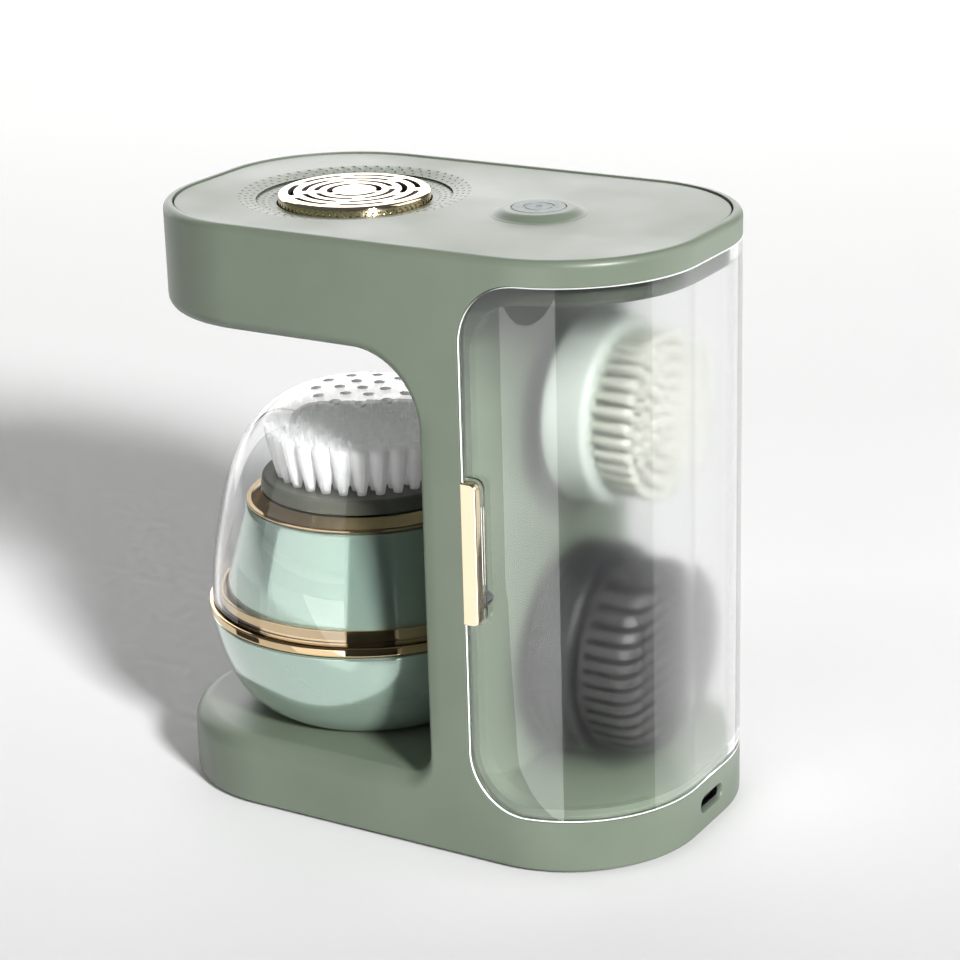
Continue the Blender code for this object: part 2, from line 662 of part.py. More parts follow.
def make_post(name, head_x, z, looks):
    """A pin for a spare head, with a collar that holds the head off the compartment's wall."""
    collar_start = COMPARTMENT_X + GAP - POST_ROOT_X
    collar_end = head_x - GAP - POST_ROOT_X
    length = head_x + POST_REACH - POST_ROOT_X
    post = [(0, 0), (POST_RADIUS, 0), (POST_RADIUS, collar_start), (COLLAR_RADIUS, collar_start)]
    post += [(COLLAR_RADIUS, collar_end), (POST_RADIUS, collar_end), (POST_RADIUS, length - 1)]
    post += [(POST_RADIUS - 1, length), (0, length)]
    add(name, lathe_shape(post, SMALL), looks["steel"], (POST_ROOT_X, 0, z), (0, QUARTER, 0))


def make_posts(looks):
    make_post("head_post_upper", UPPER_SPARE_X, UPPER_SPARE_Z, looks)
    make_post("head_post_lower", LOWER_SPARE_X, LOWER_SPARE_Z, looks)


def make_outlet_grille(looks):
    place = (BRUSH_X, 0, 0)
    plate = rod_shape(OUTLET_RADIUS - GAP, ARM_UNDERSIDE + GAP, ARM_UNDERSIDE + 2.3, ROUND)
    grille = add("air_outlet_grille", plate, looks["sage"], place)
    slots = []
    through = (ARM_UNDERSIDE - 1, ARM_UNDERSIDE + 4)
    for inner, outer in ((4.0, 8.0), (10.0, 15.0)):
        for index in range(6):
            start = math.tau * index / 6 + 0.12
            slots.append(arc_slot_shape(inner, outer, start, start + 0.8, *through))
    return cut(grille, helper("grille_slots", grouped(slots), place))


# ---- fan and filter cap ----

def make_fan(looks):
    side = FAN_HALF_SIDE
    low, high = FAN_Z
    place = (BRUSH_X, 0, 0)
    frame = add("fan_frame", box_shape((-side, side), (-side, side), FAN_Z), looks["dark"], place)
    bore = helper("fan_bore", rod_shape(FAN_BORE, low + 1.7, high + 1, ROUND), place)
    gaps = []
    for turn in third_turns(0):
        gaps.append(arc_slot_shape(8.6, FAN_BORE - 0.2, turn + 0.1, turn + 1.9, low - 1, low + 2.5, 8))
    cut(frame, bore, helper("fan_gaps", grouped(gaps), place))
    add("fan_motor", rod_shape(5.6, low + 2.0, 125.0, 24), looks["copper"], place)
    hub = [(0, 127), (8, 127), (8, 121.2), (6.4, 121.2), (6.4, 125.6), (0, 125.6)]
    rotor = add("fan_rotor", lathe_shape(hub, 28), looks["dark"], place)
    blades = []
    for index in range(BLADE_COUNT):
        blade = box_shape((7.2, 17.8), (-0.45, 0.45), (-3.0, 3.0))
        tilted = moved(blade, (0, 0, 123.9), (math.radians(40), 0, 0))
        blades.append(moved(tilted, turn=(0, 0, math.tau * index / BLADE_COUNT)))
    return weld(rotor, helper("fan_blades", grouped(blades), place))


def make_filter_cap(looks):
    inner = CAP_RADIUS - 1.5
    underside = CAP_TOP - CAP_PLATE
    profile = [(0, CAP_TOP), (CAP_RADIUS - 0.4, CAP_TOP), (CAP_RADIUS, CAP_TOP - 0.4)]
    profile += [(CAP_RADIUS, CAP_BOTTOM), (inner, CAP_BOTTOM), (inner, underside), (0, underside)]
    place = (BRUSH_X, 0, 0)
    cap = add("filter_cap", lathe_shape(profile, ROUND), looks["gold"], place)
    lug_x = (CAP_RADIUS - 0.9, CAP_RADIUS + 1.3)
    lug = box_shape(lug_x, (-2.2, 2.2), (CAP_BOTTOM + 0.05, CAP_BOTTOM + 1.4))
    lugs = [moved(lug, turn=(0, 0, turn)) for turn in third_turns(-math.pi / 6)]
    slots = []
    for radius, count in CAP_SLOT_RINGS:
        inside, outside = radius - CAP_SLOT_WIDTH / 2, radius + CAP_SLOT_WIDTH / 2
        for index in range(count):
            start = math.tau * index / count
            end = start + math.tau / count - CAP_SLOT_SPACING / radius
            slots.append(arc_slot_shape(inside, outside, start, end, underside - 1, CAP_TOP + 1))
    weld(cap, helper("cap_lugs", grouped(lugs), place))
    cut(cap, helper("cap_slots", grouped(slots), place))
    foam = rod_shape(inner - 0.4, underside - 3.4, underside - GAP, ROUND)
    pad = add("filter_pad", foam, looks["white"], place)
    pivot("filter_cap_pivot", place, [cap, pad])


def make_top_button(looks):
    cap_bottom = PAD_TOP - 2.0
    crown = PAD_TOP + 0.1
    profile = [(0, 135.6), (1.5, 135.6), (1.5, cap_bottom), (BUTTON_RADIUS, cap_bottom)]
    profile += [(BUTTON_RADIUS, crown - GAP), (BUTTON_RADIUS - 0.4, crown), (0, crown)]
    add("top_button", lathe_shape(profile, ROUND), looks["frosted"], (PAD_X, 0, 0))


# ---- door ----

def make_door(looks):
    shell = loft_shape(door_rungs(DOOR_EDGE_X + GAP, HINGE_X + 0.4, 0.0, DOOR_THICKNESS, GAP))
    panel = add("door_panel", shell, looks["frosted"])
    knuckle = rod_shape(KNUCKLE_RADIUS, DOOR_BOTTOM + GAP, DOOR_TOP - GAP)
    low = rod_shape(PIN_BORE_RADIUS, DOOR_BOTTOM - 2, DOOR_BOTTOM + PIN_ENGAGEMENT + 2 * GAP, 12)
    high = rod_shape(PIN_BORE_RADIUS, DOOR_TOP - PIN_ENGAGEMENT - 2 * GAP, DOOR_TOP + 2, 12)
    axis = (HINGE_X, HINGE_Y, 0)
    weld(panel, helper("knuckle", knuckle, axis))
    slot_x = (TONGUE_X[0] - GAP, TONGUE_X[1] + GAP)
    slot = box_shape(slot_x, (-THROUGH, -33), (TONGUE_Z[0] - GAP, TONGUE_Z[1] + GAP))
    inner_face = -HALF_WIDTH + DOOR_THICKNESS
    latch = (LATCH_X, 0, LATCH_Z)
    front_facing = (-QUARTER, 0, 0)
    pocket = moved(rod_shape(MAGNET_RADIUS + GAP, inner_face - 1.5, inner_face + 2), latch, front_facing)
    cut(panel, helper("knuckle_bores", grouped([low, high]), axis))
    cut(panel, helper("handle_slot", slot), helper("door_pocket", pocket))
    handle = make_handle(looks)
    magnet = rod_shape(MAGNET_RADIUS, inner_face - 1.2, inner_face)
    door_magnet = add("door_magnet", magnet, looks["steel"], latch, front_facing)
    pivot("door_pivot", axis, [panel, handle, door_magnet])
    jamb_face = inner_face + 2 * GAP
    magnet = rod_shape(MAGNET_RADIUS, jamb_face + 0.1, jamb_face + 2.9)
    add("jamb_magnet", magnet, looks["steel"], latch, front_facing)
    lower_pin = rod_shape(PIN_RADIUS, LOWER_PIN_START, DOOR_BOTTOM + PIN_ENGAGEMENT)
    upper_pin = rod_shape(PIN_RADIUS, DOOR_TOP - PIN_ENGAGEMENT, PANEL_SEAT - 2 * GAP)
    add("hinge_pin_lower", lower_pin, looks["steel"], axis)
    add("hinge_pin_upper", upper_pin, looks["steel"], axis)


def make_handle(looks):
    """A bar on the door's front face, with a tongue that passes through the door."""
    back = -HALF_WIDTH - GAP
    front = back - HANDLE_PROUD
    x0, x1 = HANDLE_X
    z0, z1 = HANDLE_Z
    soft = HANDLE_CORNER
    outline = [(x0, z0), (x1 - soft, z0)]
    outline += fillet_points((x1 - soft, z0 + soft), soft, -QUARTER, 0, 3)[1:]
    outline += fillet_points((x1 - soft, z1 - soft), soft, 0, QUARTER, 3)
    outline += [(x0, z1)]
    handle = add("door_handle", along_y(outline, front, back), looks["gold"])
    tongue = box_shape(TONGUE_X, (back - 1, -HALF_WIDTH + DOOR_THICKNESS), TONGUE_Z)
    return weld(handle, helper("handle_tongue", tongue))


# ---- brush ----

def lower_shell_shape():
    depth_share = (LOWER_TOP - BRUSH_BOTTOM) / LOWER_DEPTH
    last = math.asin(depth_share ** (1.43 / 2))
    drop = bulge(LOWER_RADIUS, LOWER_DEPTH, 5.6, 1.43, last, LOWER_STEPS)
    outer = [(radius, LOWER_TOP - z) for radius, z in drop]
    floor = BRUSH_BOTTOM + 2.0
    inner = [(radius - SHELL_WALL, z) for radius, z in outer if z > floor + 1]
    flat = outer[-1][0]
    outer[-1] = (flat - 0.8, BRUSH_BOTTOM)
    outer.insert(-1, (flat + 0.9, BRUSH_BOTTOM + 0.7))
    return lathe_shape([(0, BRUSH_BOTTOM)] + outer[::-1] + inner + [(flat - 3, floor), (0, floor)], FULL)


def upper_shell_shape():
    low = BAND_TOP + GAP
    heights = [low + (UPPER_TOP - low) * index / UPPER_STEPS for index in range(UPPER_STEPS + 1)]
    outer = [(upper_shell_radius(z), z) for z in heights]
    flange = UPPER_TOP - SHELL_WALL
    inner = [(radius - SHELL_WALL, z) for radius, z in outer if z < flange]
    tip = upper_shell_radius(flange) - SHELL_WALL
    flange_points = [(FLANGE_RADIUS, UPPER_TOP), (FLANGE_RADIUS, flange), (tip, flange)]
    return lathe_shape(outer + flange_points + inner[::-1], FULL)


def power_button_hole():
    hole = rod_shape(POWER_BUTTON_RADIUS + GAP, -6, 6, 24)
    return helper("power_button_hole", hole, *power_button_place())


def power_button_place():
    """The button's centre on the back of the upper shell, and the turn that faces it outwards."""
    centre = (BRUSH_X, upper_shell_radius(POWER_BUTTON_Z), POWER_BUTTON_Z)
    return centre, (BUTTON_TILT - QUARTER, 0, 0)


def make_brush_shells(looks):
    place = (BRUSH_X, 0, 0)
    lower = add("lower_shell", lower_shell_shape(), looks["mint"], place)
    band = ring_shape(31.0, BAND_RADIUS, LOWER_TOP + GAP, BAND_TOP, FULL)
    mid = add("mid_band", band, looks["gold"], place)
    upper = add("upper_shell", upper_shell_shape(), looks["mint"], place)
    cut(upper, power_button_hole())
    bottom = UPPER_TOP + GAP
    ring = [(5.5, bottom), (UPPER_TOP_RADIUS, bottom), (RING_TOP_RADIUS, RING_TOP), (5.5, RING_TOP)]
    top = add("top_ring", lathe_shape(ring, FULL), looks["gold"], place)
    seat = ring_shape(SEAT_RADII[0], SEAT_RADII[1], BAND_TOP + GAP, SEAT_TOP, FULL)
    seat = add("dome_seat", seat, looks["gold"], place)
    return [lower, mid, upper, top, seat]


def make_brush_insides(looks):
    place = (BRUSH_X, 0, 0)
    motor_place = (BRUSH_X + CENTRE_DISTANCE, 0, 0)
    chassis = add("motor_chassis", ring_shape(5.0, 26.0, *CHASSIS_Z), looks["dark"], place)
    shaft_hole = rod_shape(1.4, CHASSIS_Z[0] - 1, CHASSIS_Z[1] + 1, 12)
    cut(chassis, helper("motor_shaft_hole", shaft_hole, motor_place))
    motor = add("drive_motor", rod_shape(MOTOR_RADIUS, *MOTOR_Z, 24), looks["steel"], motor_place)
    cut(motor, helper("motor_bore", rod_shape(1.1, 54.0, MOTOR_Z[1] + 1, 12), motor_place))
    battery = add("battery", rod_shape(7.0, 24.0, 56.0, 24), looks["dark"], (BRUSH_X - 11.0, 0, 0))
    board = add("brush_board", box_shape((-14, 14), (19.0, 20.2), (28.0, 56.0)), looks["board"], place)
    coil = add("receiving_coil", ring_shape(8.0, 16.0, 19.5, 20.7), looks["copper"], place)
    shaft_bore = SHAFT_RADIUS + GAP
    bearing = add("shaft_bearing", ring_shape(shaft_bore, 4.7, 59.3, 61.7), looks["steel"], place)
    seal = add("shaft_seal", ring_shape(shaft_bore, 5.2, 66.9, 69.0), looks["rubber"], place)
    return [chassis, motor, battery, board, coil, bearing, seal]


def gear_outline(teeth, phase):
    """A toothed outline with thin teeth, which leave backlash between meshed gears."""
    pitch_radius = MODULE * teeth / 2
    root, tip = pitch_radius - 0.6, pitch_radius + 0.35
    outline = []
    for index in range(teeth):
        middle = math.tau * (index + phase) / teeth
        for radius, offset in ((root, -0.40), (tip, -0.15), (tip, 0.15), (root, 0.40)):
            turn = middle + offset / radius
            outline.append((radius * math.cos(turn), radius * math.sin(turn)))
    return outline


def make_drive(looks):
    place = (BRUSH_X, 0, 0)
    motor_place = (BRUSH_X + CENTRE_DISTANCE, 0, 0)
    gear = add("output_gear", prism_shape(gear_outline(GEAR_TEETH, 0.5), *GEAR_Z), looks["white"], place)
    cut(gear, helper("gear_bore", rod_shape(SHAFT_RADIUS + GAP, GEAR_Z[0] - 1, GEAR_Z[1] + 1, 24), place))
    shaft = add("output_shaft", rod_shape(SHAFT_RADIUS, 57.5, 72.0, 24), looks["steel"], place)
    toothed = prism_shape(gear_outline(PINION_TEETH, 0.0), *GEAR_Z)
    pinion = add("motor_pinion", toothed, looks["white"], motor_place)
    weld(pinion, helper("pinion_shaft", rod_shape(0.8, 55.0, GEAR_Z[0] + 1, 12), motor_place))
    base_low, base_high = HEAD_Z
    base = [(0, base_low), (HEAD_RADIUS - 0.8, base_low), (HEAD_RADIUS, base_low + 0.6)]
    base += [(HEAD_RADIUS, base_high - 0.8), (HEAD_RADIUS - 0.8, base_high), (0, base_high)]
    head = add("head_base", lathe_shape(base, ROUND), looks["sage"], place)
    cut(head, helper("head_socket", rod_shape(SHAFT_RADIUS + GAP, base_low - 1, 72.4, 24), place))
    root = base_high + GAP
    tufts = [(0, root), (TUFT_ROOT_RADIUS, root), (TUFT_TIP_RADIUS, TUFT_TOP - 2.8)]
    tufts += [(TUFT_TIP_RADIUS - 1, TUFT_TOP - 1.6), (12, TUFT_TOP - 0.4), (0, TUFT_TOP)]
    bristles = add("bristles", lathe_shape(tufts, ROUND), looks["white"], place)
    pivot("head_pivot", place, [gear, shaft, head, bristles])


def make_dome(looks):
    outer = dome_profile()
    inner = inner_wall(outer, DOME_WALL)
    inner[0] = (DOME_RADIUS - DOME_WALL, outer[0][1])
    inner[-1] = (0, outer[-1][1] - DOME_WALL)
    profile = [inner[-1]] + inner[-2::-1] + outer
    dome = add("dome_cover", lathe_shape(profile, FULL), looks["clear"], (BRUSH_X, 0, 0))
    hole = rod_shape(DOME_HOLE_RADIUS, 80.0, 100.0, 6)
    holes = []
    for circle, count in DOME_HOLE_CIRCLES:
        for index in range(count):
            turn = math.tau * index / count
            holes.append(moved(hole, (circle * math.cos(turn), circle * math.sin(turn), 0)))
    return cut(dome, helper("dome_holes", grouped(holes), (BRUSH_X, 0, 0)))


def make_power_button(looks):
    profile = [(0, -7.0), (1.5, -7.0), (1.5, -2.6), (POWER_BUTTON_RADIUS, -2.6), (POWER_BUTTON_RADIUS, 0.5)]
    profile += [(POWER_BUTTON_RADIUS - 0.6, 0.9), (0, 0.9)]
    add("power_button", lathe_shape(profile, 24), looks["gold"], *power_button_place())


# ---- spare heads ----

def make_spare_head(name, place, radius, base_length, tip_x, looks, base_look, tuft_look):
    turn = (0, QUARTER, 0)
    base = [(0, 0), (radius - 1.2, 0), (radius, 1.2), (radius, base_length - 1.5)]
    base += [(radius - 1.5, base_length), (0, base_length)]
    body = add(name + "_base", lathe_shape(base, ROUND), looks[base_look], place, turn)
    socket = rod_shape(POST_RADIUS + GAP, -1, POST_REACH + GAP)
    cut(body, helper(name + "_socket", socket, place, turn))
    start = base_length + GAP
    end = tip_x - place[0]
    tufts = [(0, start), (radius - 3.0, start), (radius - 2.0, end - 2.0)]
    tufts += [(radius - 3.5, end), (0, end + 0.4)]
    bristles = add(name + "_bristles", lathe_shape(tufts, ROUND), looks[tuft_look], place, turn)
    pivot(name + "_pivot", place, [body, bristles])


def main():
    for leftover in list(bpy.data.objects):
        bpy.data.objects.remove(leftover)
    looks = make_materials()
    make_housing(looks)
    make_top_panel(looks)
    make_base(looks)
    make_usb_socket(looks)
    make_electronics(looks)
    make_wiring(looks)
    make_posts(looks)
    make_outlet_grille(looks)
    make_fan(looks)
    make_filter_cap(looks)
    make_top_button(looks)
    make_door(looks)
    brush = make_brush_shells(looks) + make_brush_insides(looks)
    pivot("brush_pivot", (BRUSH_X, 0, 0), brush)
    make_drive(looks)
    make_dome(looks)
    make_power_button(looks)
    upper_place = (UPPER_SPARE_X, 0, UPPER_SPARE_Z)
    make_spare_head("spare_head_upper", upper_place, 21.0, 10.5, 55.8, looks, "mint", "white")
    lower_place = (LOWER_SPARE_X, 0, LOWER_SPARE_Z)
    make_spare_head("spare_head_lower", lower_place, 24.2, 10.0, 54.9, looks, "charcoal", "charcoal")


main()
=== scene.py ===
"""Looks for the facial cleansing brush and its dock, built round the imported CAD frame.

Lengths are in millimetres until a mesh is made. Every piece is in the row's frame: the origin is the centre
of the dock's footprint, +X points to the door end, -Y to the front and +Z up.
"""

import json
import math
import random

import bmesh
import bpy
from mathutils import Euler, Matrix, Vector

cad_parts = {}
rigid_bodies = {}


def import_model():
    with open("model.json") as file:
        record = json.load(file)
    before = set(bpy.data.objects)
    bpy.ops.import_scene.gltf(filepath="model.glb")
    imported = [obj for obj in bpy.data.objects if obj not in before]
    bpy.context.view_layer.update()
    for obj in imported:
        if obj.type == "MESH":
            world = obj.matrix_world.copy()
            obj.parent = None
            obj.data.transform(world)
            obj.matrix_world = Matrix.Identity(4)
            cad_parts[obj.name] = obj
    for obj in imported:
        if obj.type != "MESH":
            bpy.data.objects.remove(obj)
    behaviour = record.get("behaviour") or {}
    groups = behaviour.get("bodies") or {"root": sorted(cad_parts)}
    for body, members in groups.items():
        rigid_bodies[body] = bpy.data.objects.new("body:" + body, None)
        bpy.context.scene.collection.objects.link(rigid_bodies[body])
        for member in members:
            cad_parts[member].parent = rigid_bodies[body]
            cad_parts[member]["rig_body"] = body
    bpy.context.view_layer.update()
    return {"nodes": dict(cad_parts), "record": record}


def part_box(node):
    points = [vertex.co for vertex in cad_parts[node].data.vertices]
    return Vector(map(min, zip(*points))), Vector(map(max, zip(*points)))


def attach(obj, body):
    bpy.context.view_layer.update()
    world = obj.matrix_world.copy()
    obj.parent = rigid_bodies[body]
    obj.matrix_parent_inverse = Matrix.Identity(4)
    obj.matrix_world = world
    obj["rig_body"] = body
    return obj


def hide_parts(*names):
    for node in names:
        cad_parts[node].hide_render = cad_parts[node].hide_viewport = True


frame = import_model()

MM = 0.001
GAP = 0.3
QUARTER = math.pi / 2
FULL = math.tau
SLOT_OF = {part["node"]: part["material_slot"] for part in frame["record"]["subparts"]}


def box_mm(node):
    low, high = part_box(node)
    return low / MM, high / MM


# ---- sizes that come from the frame ----

HOUSING_LOW, HOUSING_HIGH = box_mm("dock_housing")
HALF_LENGTH = HOUSING_HIGH.x
HALF_WIDTH = HOUSING_HIGH.y
DOCK_TOP = HOUSING_HIGH.z
DOCK_BOTTOM = HOUSING_LOW.z
PANEL_LOW, PANEL_HIGH = box_mm("top_panel")
DOOR_LOW, DOOR_HIGH = box_mm("door_panel")
PIN_LOW, PIN_HIGH = box_mm("hinge_pin_lower")
HINGE_X = (PIN_LOW.x + PIN_HIGH.x) / 2
HINGE_Y = (PIN_LOW.y + PIN_HIGH.y) / 2
LOWER_LOW, LOWER_HIGH = box_mm("lower_shell")
BRUSH_X = (LOWER_LOW.x + LOWER_HIGH.x) / 2
BAND_LOW, BAND_HIGH = box_mm("mid_band")
UPPER_LOW, UPPER_HIGH = box_mm("upper_shell")
RING_LOW, RING_HIGH = box_mm("top_ring")
DOME_LOW, DOME_HIGH = box_mm("dome_cover")
CAP_LOW, CAP_HIGH = box_mm("filter_cap")
BUTTON_LOW, BUTTON_HIGH = box_mm("top_button")
BUTTON_X = (BUTTON_LOW.x + BUTTON_HIGH.x) / 2
BUTTON_RADIUS = (BUTTON_HIGH.x - BUTTON_LOW.x) / 2
DECK_TOP = LOWER_LOW.z - GAP
PLACE = (BRUSH_X, 0, 0)

# ---- sizes of the dock's own shape ----

CORNER_RADIUS = 31.5
RIM_WIDTH = 2.1
RIM_FILLET = 1.6
BOTTOM_FILLET = 1.0
WALL = 4.2
BAY_WALL_X = 14.4
ARM_UNDERSIDE = 115.0
BAY_UPPER_FILLET = 17.0
BAY_LOWER_FILLET = 8.0
DECK_EDGE = 4.4
ARM_EDGE = 3.0
COLUMN_EDGE = 1.3
PANEL_SEAT = PANEL_HIGH.z - 2.5
DOOR_THICKNESS = 2.5
DOOR_CORNER_RADIUS = 14.0
DOOR_EDGE_X = 24.8
DOOR_BOTTOM = DOOR_LOW.z - GAP
DOOR_TOP = DOOR_HIGH.z + GAP
HINGE_JAMB_X = 24.4
HINGE_WELL_RADIUS = 2.8
KNUCKLE_RADIUS = 2.1
COMPARTMENT_X = 26.8
COMPARTMENT_FLOOR = DOOR_BOTTOM + 2.4
COMPARTMENT_CEILING = DOOR_TOP - 4.5
COMPARTMENT_FILLET = 12.0
ARM_HOLLOW_END = 23.0
BASE_HOLLOW_TOP = 11.5
COIL_WELL_RADIUS = 20.0
SWITCH_POCKET_X = (22.0, 36.0)
SWITCH_POCKET_Y = (-14.0, 14.0)
SWITCH_POCKET_FLOOR = 132.3
THROUGH = 60.0
DOOR_STEPS = 28
DISH_RADIUS = 26.5
DISH_FLOOR_RADIUS = 18.2
DISH_DEPTH = 1.7
PAD_RADIUS = 10.8
PAD_TOP_RADIUS = 7.5
PAD_HEIGHT = 1.3


# ---- shapes: lists of points in millimetres and of faces ----

def loft_shape(loops):
    """Joins loops of equal length in order, and closes both ends."""
    steps = len(loops[0])
    points = [point for loop in loops for point in loop]
    faces = [list(reversed(range(steps)))]
    for level in range(len(loops) - 1):
        start = level * steps
        for index in range(steps):
            after = (index + 1) % steps
            faces.append([start + index, start + after, start + steps + after, start + steps + index])
    faces.append(list(range(len(points) - steps, len(points))))
    return points, faces


def lathe_shape(profile, steps=96):
    """Turns (radius, z) points about Z. A profile that doesn't start and end on the axis is a ring."""
    points, rings = [], []
    for radius, z in profile:
        count = steps if radius > 0 else 1
        rings.append(range(len(points), len(points) + count))
        turns = [FULL * index / steps for index in range(count)]
        points += [(radius * math.cos(turn), radius * math.sin(turn), z) for turn in turns]
    pairs = list(zip(rings, rings[1:]))
    if profile[0][0] > 0:
        pairs.append((rings[-1], rings[0]))
    faces = []
    for low, high in pairs:
        for index in range(max(len(low), len(high))):
            corners = [low[index % len(low)], low[(index + 1) % len(low)]]
            corners += [high[(index + 1) % len(high)], high[index % len(high)]]
            faces.append(list(dict.fromkeys(corners)))
    return points, faces


def prism_shape(outline, low, high):
    return loft_shape([[(x, y, z) for x, y in outline] for z in (low, high)])


def box_shape(x_range, y_range, z_range):
    (x0, x1), (y0, y1) = x_range, y_range
    return prism_shape([(x0, y0), (x1, y0), (x1, y1), (x0, y1)], *z_range)


def rod_shape(radius, low, high, steps=64):
    return lathe_shape([(0, low), (radius, low), (radius, high), (0, high)], steps)


def arc_slot_shape(radius, width, start, end, low, high, steps=12):
    """A curved slot with round ends."""
    half = width / 2
    outline = fillet_points((0, 0), radius + half, start, end, steps)
    middle = (radius * math.cos(end), radius * math.sin(end))
    outline += fillet_points(middle, half, end, end + math.pi, 5)[1:-1]
    outline += fillet_points((0, 0), radius - half, start, end, steps)[::-1]
    middle = (radius * math.cos(start), radius * math.sin(start))
    outline += fillet_points(middle, half, start + math.pi, start + FULL, 5)[1:-1]
    return prism_shape(outline, low, high)


def moved(shape, at=(0, 0, 0), turn=(0, 0, 0)):
    points, faces = shape
    placing = Matrix.Translation(Vector(at)) @ Euler(turn).to_matrix().to_4x4()
    return [tuple(placing @ Vector(point)) for point in points], faces


def grouped(shapes):
    points, faces = [], []
    for more_points, more_faces in shapes:
        start = len(points)
        faces += [[corner + start for corner in face] for face in more_faces]
        points += more_points
    return points, faces


def fillet_points(centre, radius, start, end, steps):
    turns = [start + (end - start) * index / steps for index in range(steps + 1)]
    return [(centre[0] + radius * math.cos(turn), centre[1] + radius * math.sin(turn)) for turn in turns]


def low_edge(radius, z, soft, steps):
    """The rounded lower outer edge of a turned piece."""
    return fillet_points((radius - soft, z + soft), soft, -QUARTER, 0, steps)


def high_edge(radius, z, soft, steps):
    """The rounded upper outer edge of a turned piece."""
    return fillet_points((radius - soft, z - soft), soft, 0, QUARTER, steps)


def along_y(outline, low, high):
    return loft_shape([[(x, y, z) for x, z in outline] for y in (low, high)])


def stadium(half_width, half_height, steps=12):
    side = half_width - half_height
    outline = fillet_points((side, 0), half_height, -QUARTER, QUARTER, steps)
    return outline + fillet_points((-side, 0), half_height, QUARTER, 3 * QUARTER, steps)


def bulge(radius, height, radius_power, height_power, last, steps):
    """(radius, rise) points of a rounded cup: full radius at rise 0, narrowing to its end."""
    points = []
    for index in range(steps + 1):
        turn = last * index / steps
        narrowing = max(math.cos(turn), 0.0) ** (2 / radius_power)
        points.append((radius * narrowing, height * math.sin(turn) ** (2 / height_power)))
    return points


def inner_wall(profile, thickness):
    """The profile moved inwards by the thickness, square to itself at each point."""
    inner = []
    for index, (radius, z) in enumerate(profile):
        before = Vector(profile[max(index - 1, 0)])
        after = Vector(profile[min(index + 1, len(profile) - 1)])
        along = (after - before).normalized()
        inner.append((radius - thickness * abs(along.y), z + thickness * along.x))
    return inner


def dock_outline(inset, steps=20):
    """The dock's plan: a rectangle with large round corners, moved inwards by inset."""
    middle_x = HALF_LENGTH - CORNER_RADIUS
    middle_y = HALF_WIDTH - CORNER_RADIUS
    outline = []
    for quarter, (side_x, side_y) in enumerate(((1, 1), (-1, 1), (-1, -1), (1, -1))):
        centre = (side_x * middle_x, side_y * middle_y)
        turn = QUARTER * quarter
        outline += fillet_points(centre, CORNER_RADIUS - inset, turn, turn + QUARTER, steps)
    return outline


def left_of(outline, limit):
    kept = [point for point in outline if point[0] < limit]
    half = max(y for _, y in kept)
    return kept + [(limit, -half), (limit, half)]


# ---- mesh work ----

def new_object(name, shape, at=(0, 0, 0), turn=(0, 0, 0)):
    points, faces = moved(shape, at, turn)
    mesh = bpy.data.meshes.new(name)
    mesh.from_pydata([Vector(point) * MM for point in points], [], faces)
    body = bmesh.new()
    body.from_mesh(mesh)
    bmesh.ops.recalc_face_normals(body, faces=body.faces)
    body.to_mesh(mesh)
    body.free()
    made = bpy.data.objects.new(name, mesh)
    bpy.context.scene.collection.objects.link(made)
    return made


def bake(piece):
    """Turns the piece's modifiers into its mesh."""
    graph = bpy.context.evaluated_depsgraph_get()
    mesh = bpy.data.meshes.new_from_object(piece.evaluated_get(graph))
    piece.modifiers.clear()
    piece.data = mesh
    return piece


def combine(piece, operation, *shapes):
    """Cuts the shapes out of the piece, or joins them to it."""
    tools = []
    for shape in shapes:
        tool = shape if isinstance(shape, bpy.types.Object) else new_object("tool", shape)
        step = piece.modifiers.new("combine", "BOOLEAN")
        step.operation = operation
        step.object = tool
        tools.append(tool)
    bake(piece)
    for tool in tools:
        bpy.data.objects.remove(tool)
    return piece


def cut(piece, *shapes):
    return combine(piece, "DIFFERENCE", *shapes)


def join(piece, *shapes):
    return combine(piece, "UNION", *shapes)


def soften(piece, width, segments=2, angle=40.0):
    """Rounds the sharp edges."""
    bevel = piece.modifiers.new("edges", "BEVEL")
    bevel.width = width * MM
    bevel.segments = segments
    bevel.limit_method = "ANGLE"
    bevel.angle_limit = math.radians(angle)
    bevel.use_clamp_overlap = True
    return bake(piece)


def finish_mesh(piece, angle=35.0):
    """Smooth shading whose normals follow the large faces."""
    piece.data.shade_smooth()
    piece.data.set_sharp_from_angle(angle=math.radians(angle))
    weighted = piece.modifiers.new("normals", "WEIGHTED_NORMAL")
    weighted.keep_sharp = True
    weighted.weight = 80
    return bake(piece)


def stand_for(piece, node, look, angle=35.0):
    """The piece takes the place of a CAD node, and rides on that node's body."""
    finish_mesh(piece, angle)
    piece.data.materials.clear()
    piece.data.materials.append(look)
    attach(piece, frame["nodes"][node]["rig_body"])
    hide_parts(node)
    return piece


def lathed(node, profile, steps, look, angle=35.0, place=PLACE, turn=(0, 0, 0)):
    """A turned piece that takes the place of a CAD node."""
    piece = new_object(node + "_fine", lathe_shape(profile, steps), place, turn)
    return stand_for(piece, node, look, angle)


def paint_faces(piece, look, chosen):
    """Gives one more look to the faces whose centre, in millimetres, and normal pass a test."""
    piece.data.materials.append(look)
    for face in piece.data.polygons:
        if chosen(face.center / MM, face.normal):
            face.material_index = len(piece.data.materials) - 1


def from_brush_axis(middle):
    return math.hypot(middle.x - BRUSH_X, middle.y)


# ---- materials ----

def node(tree, kind, inputs=None, **settings):
    made = tree.nodes.new("ShaderNode" + kind)
    for name, value in settings.items():
        setattr(made, name, value)
    for key, value in (inputs or {}).items():
        if isinstance(value, bpy.types.NodeSocket):
            tree.links.new(value, made.inputs[key])
        else:
            made.inputs[key].default_value = value
    return made


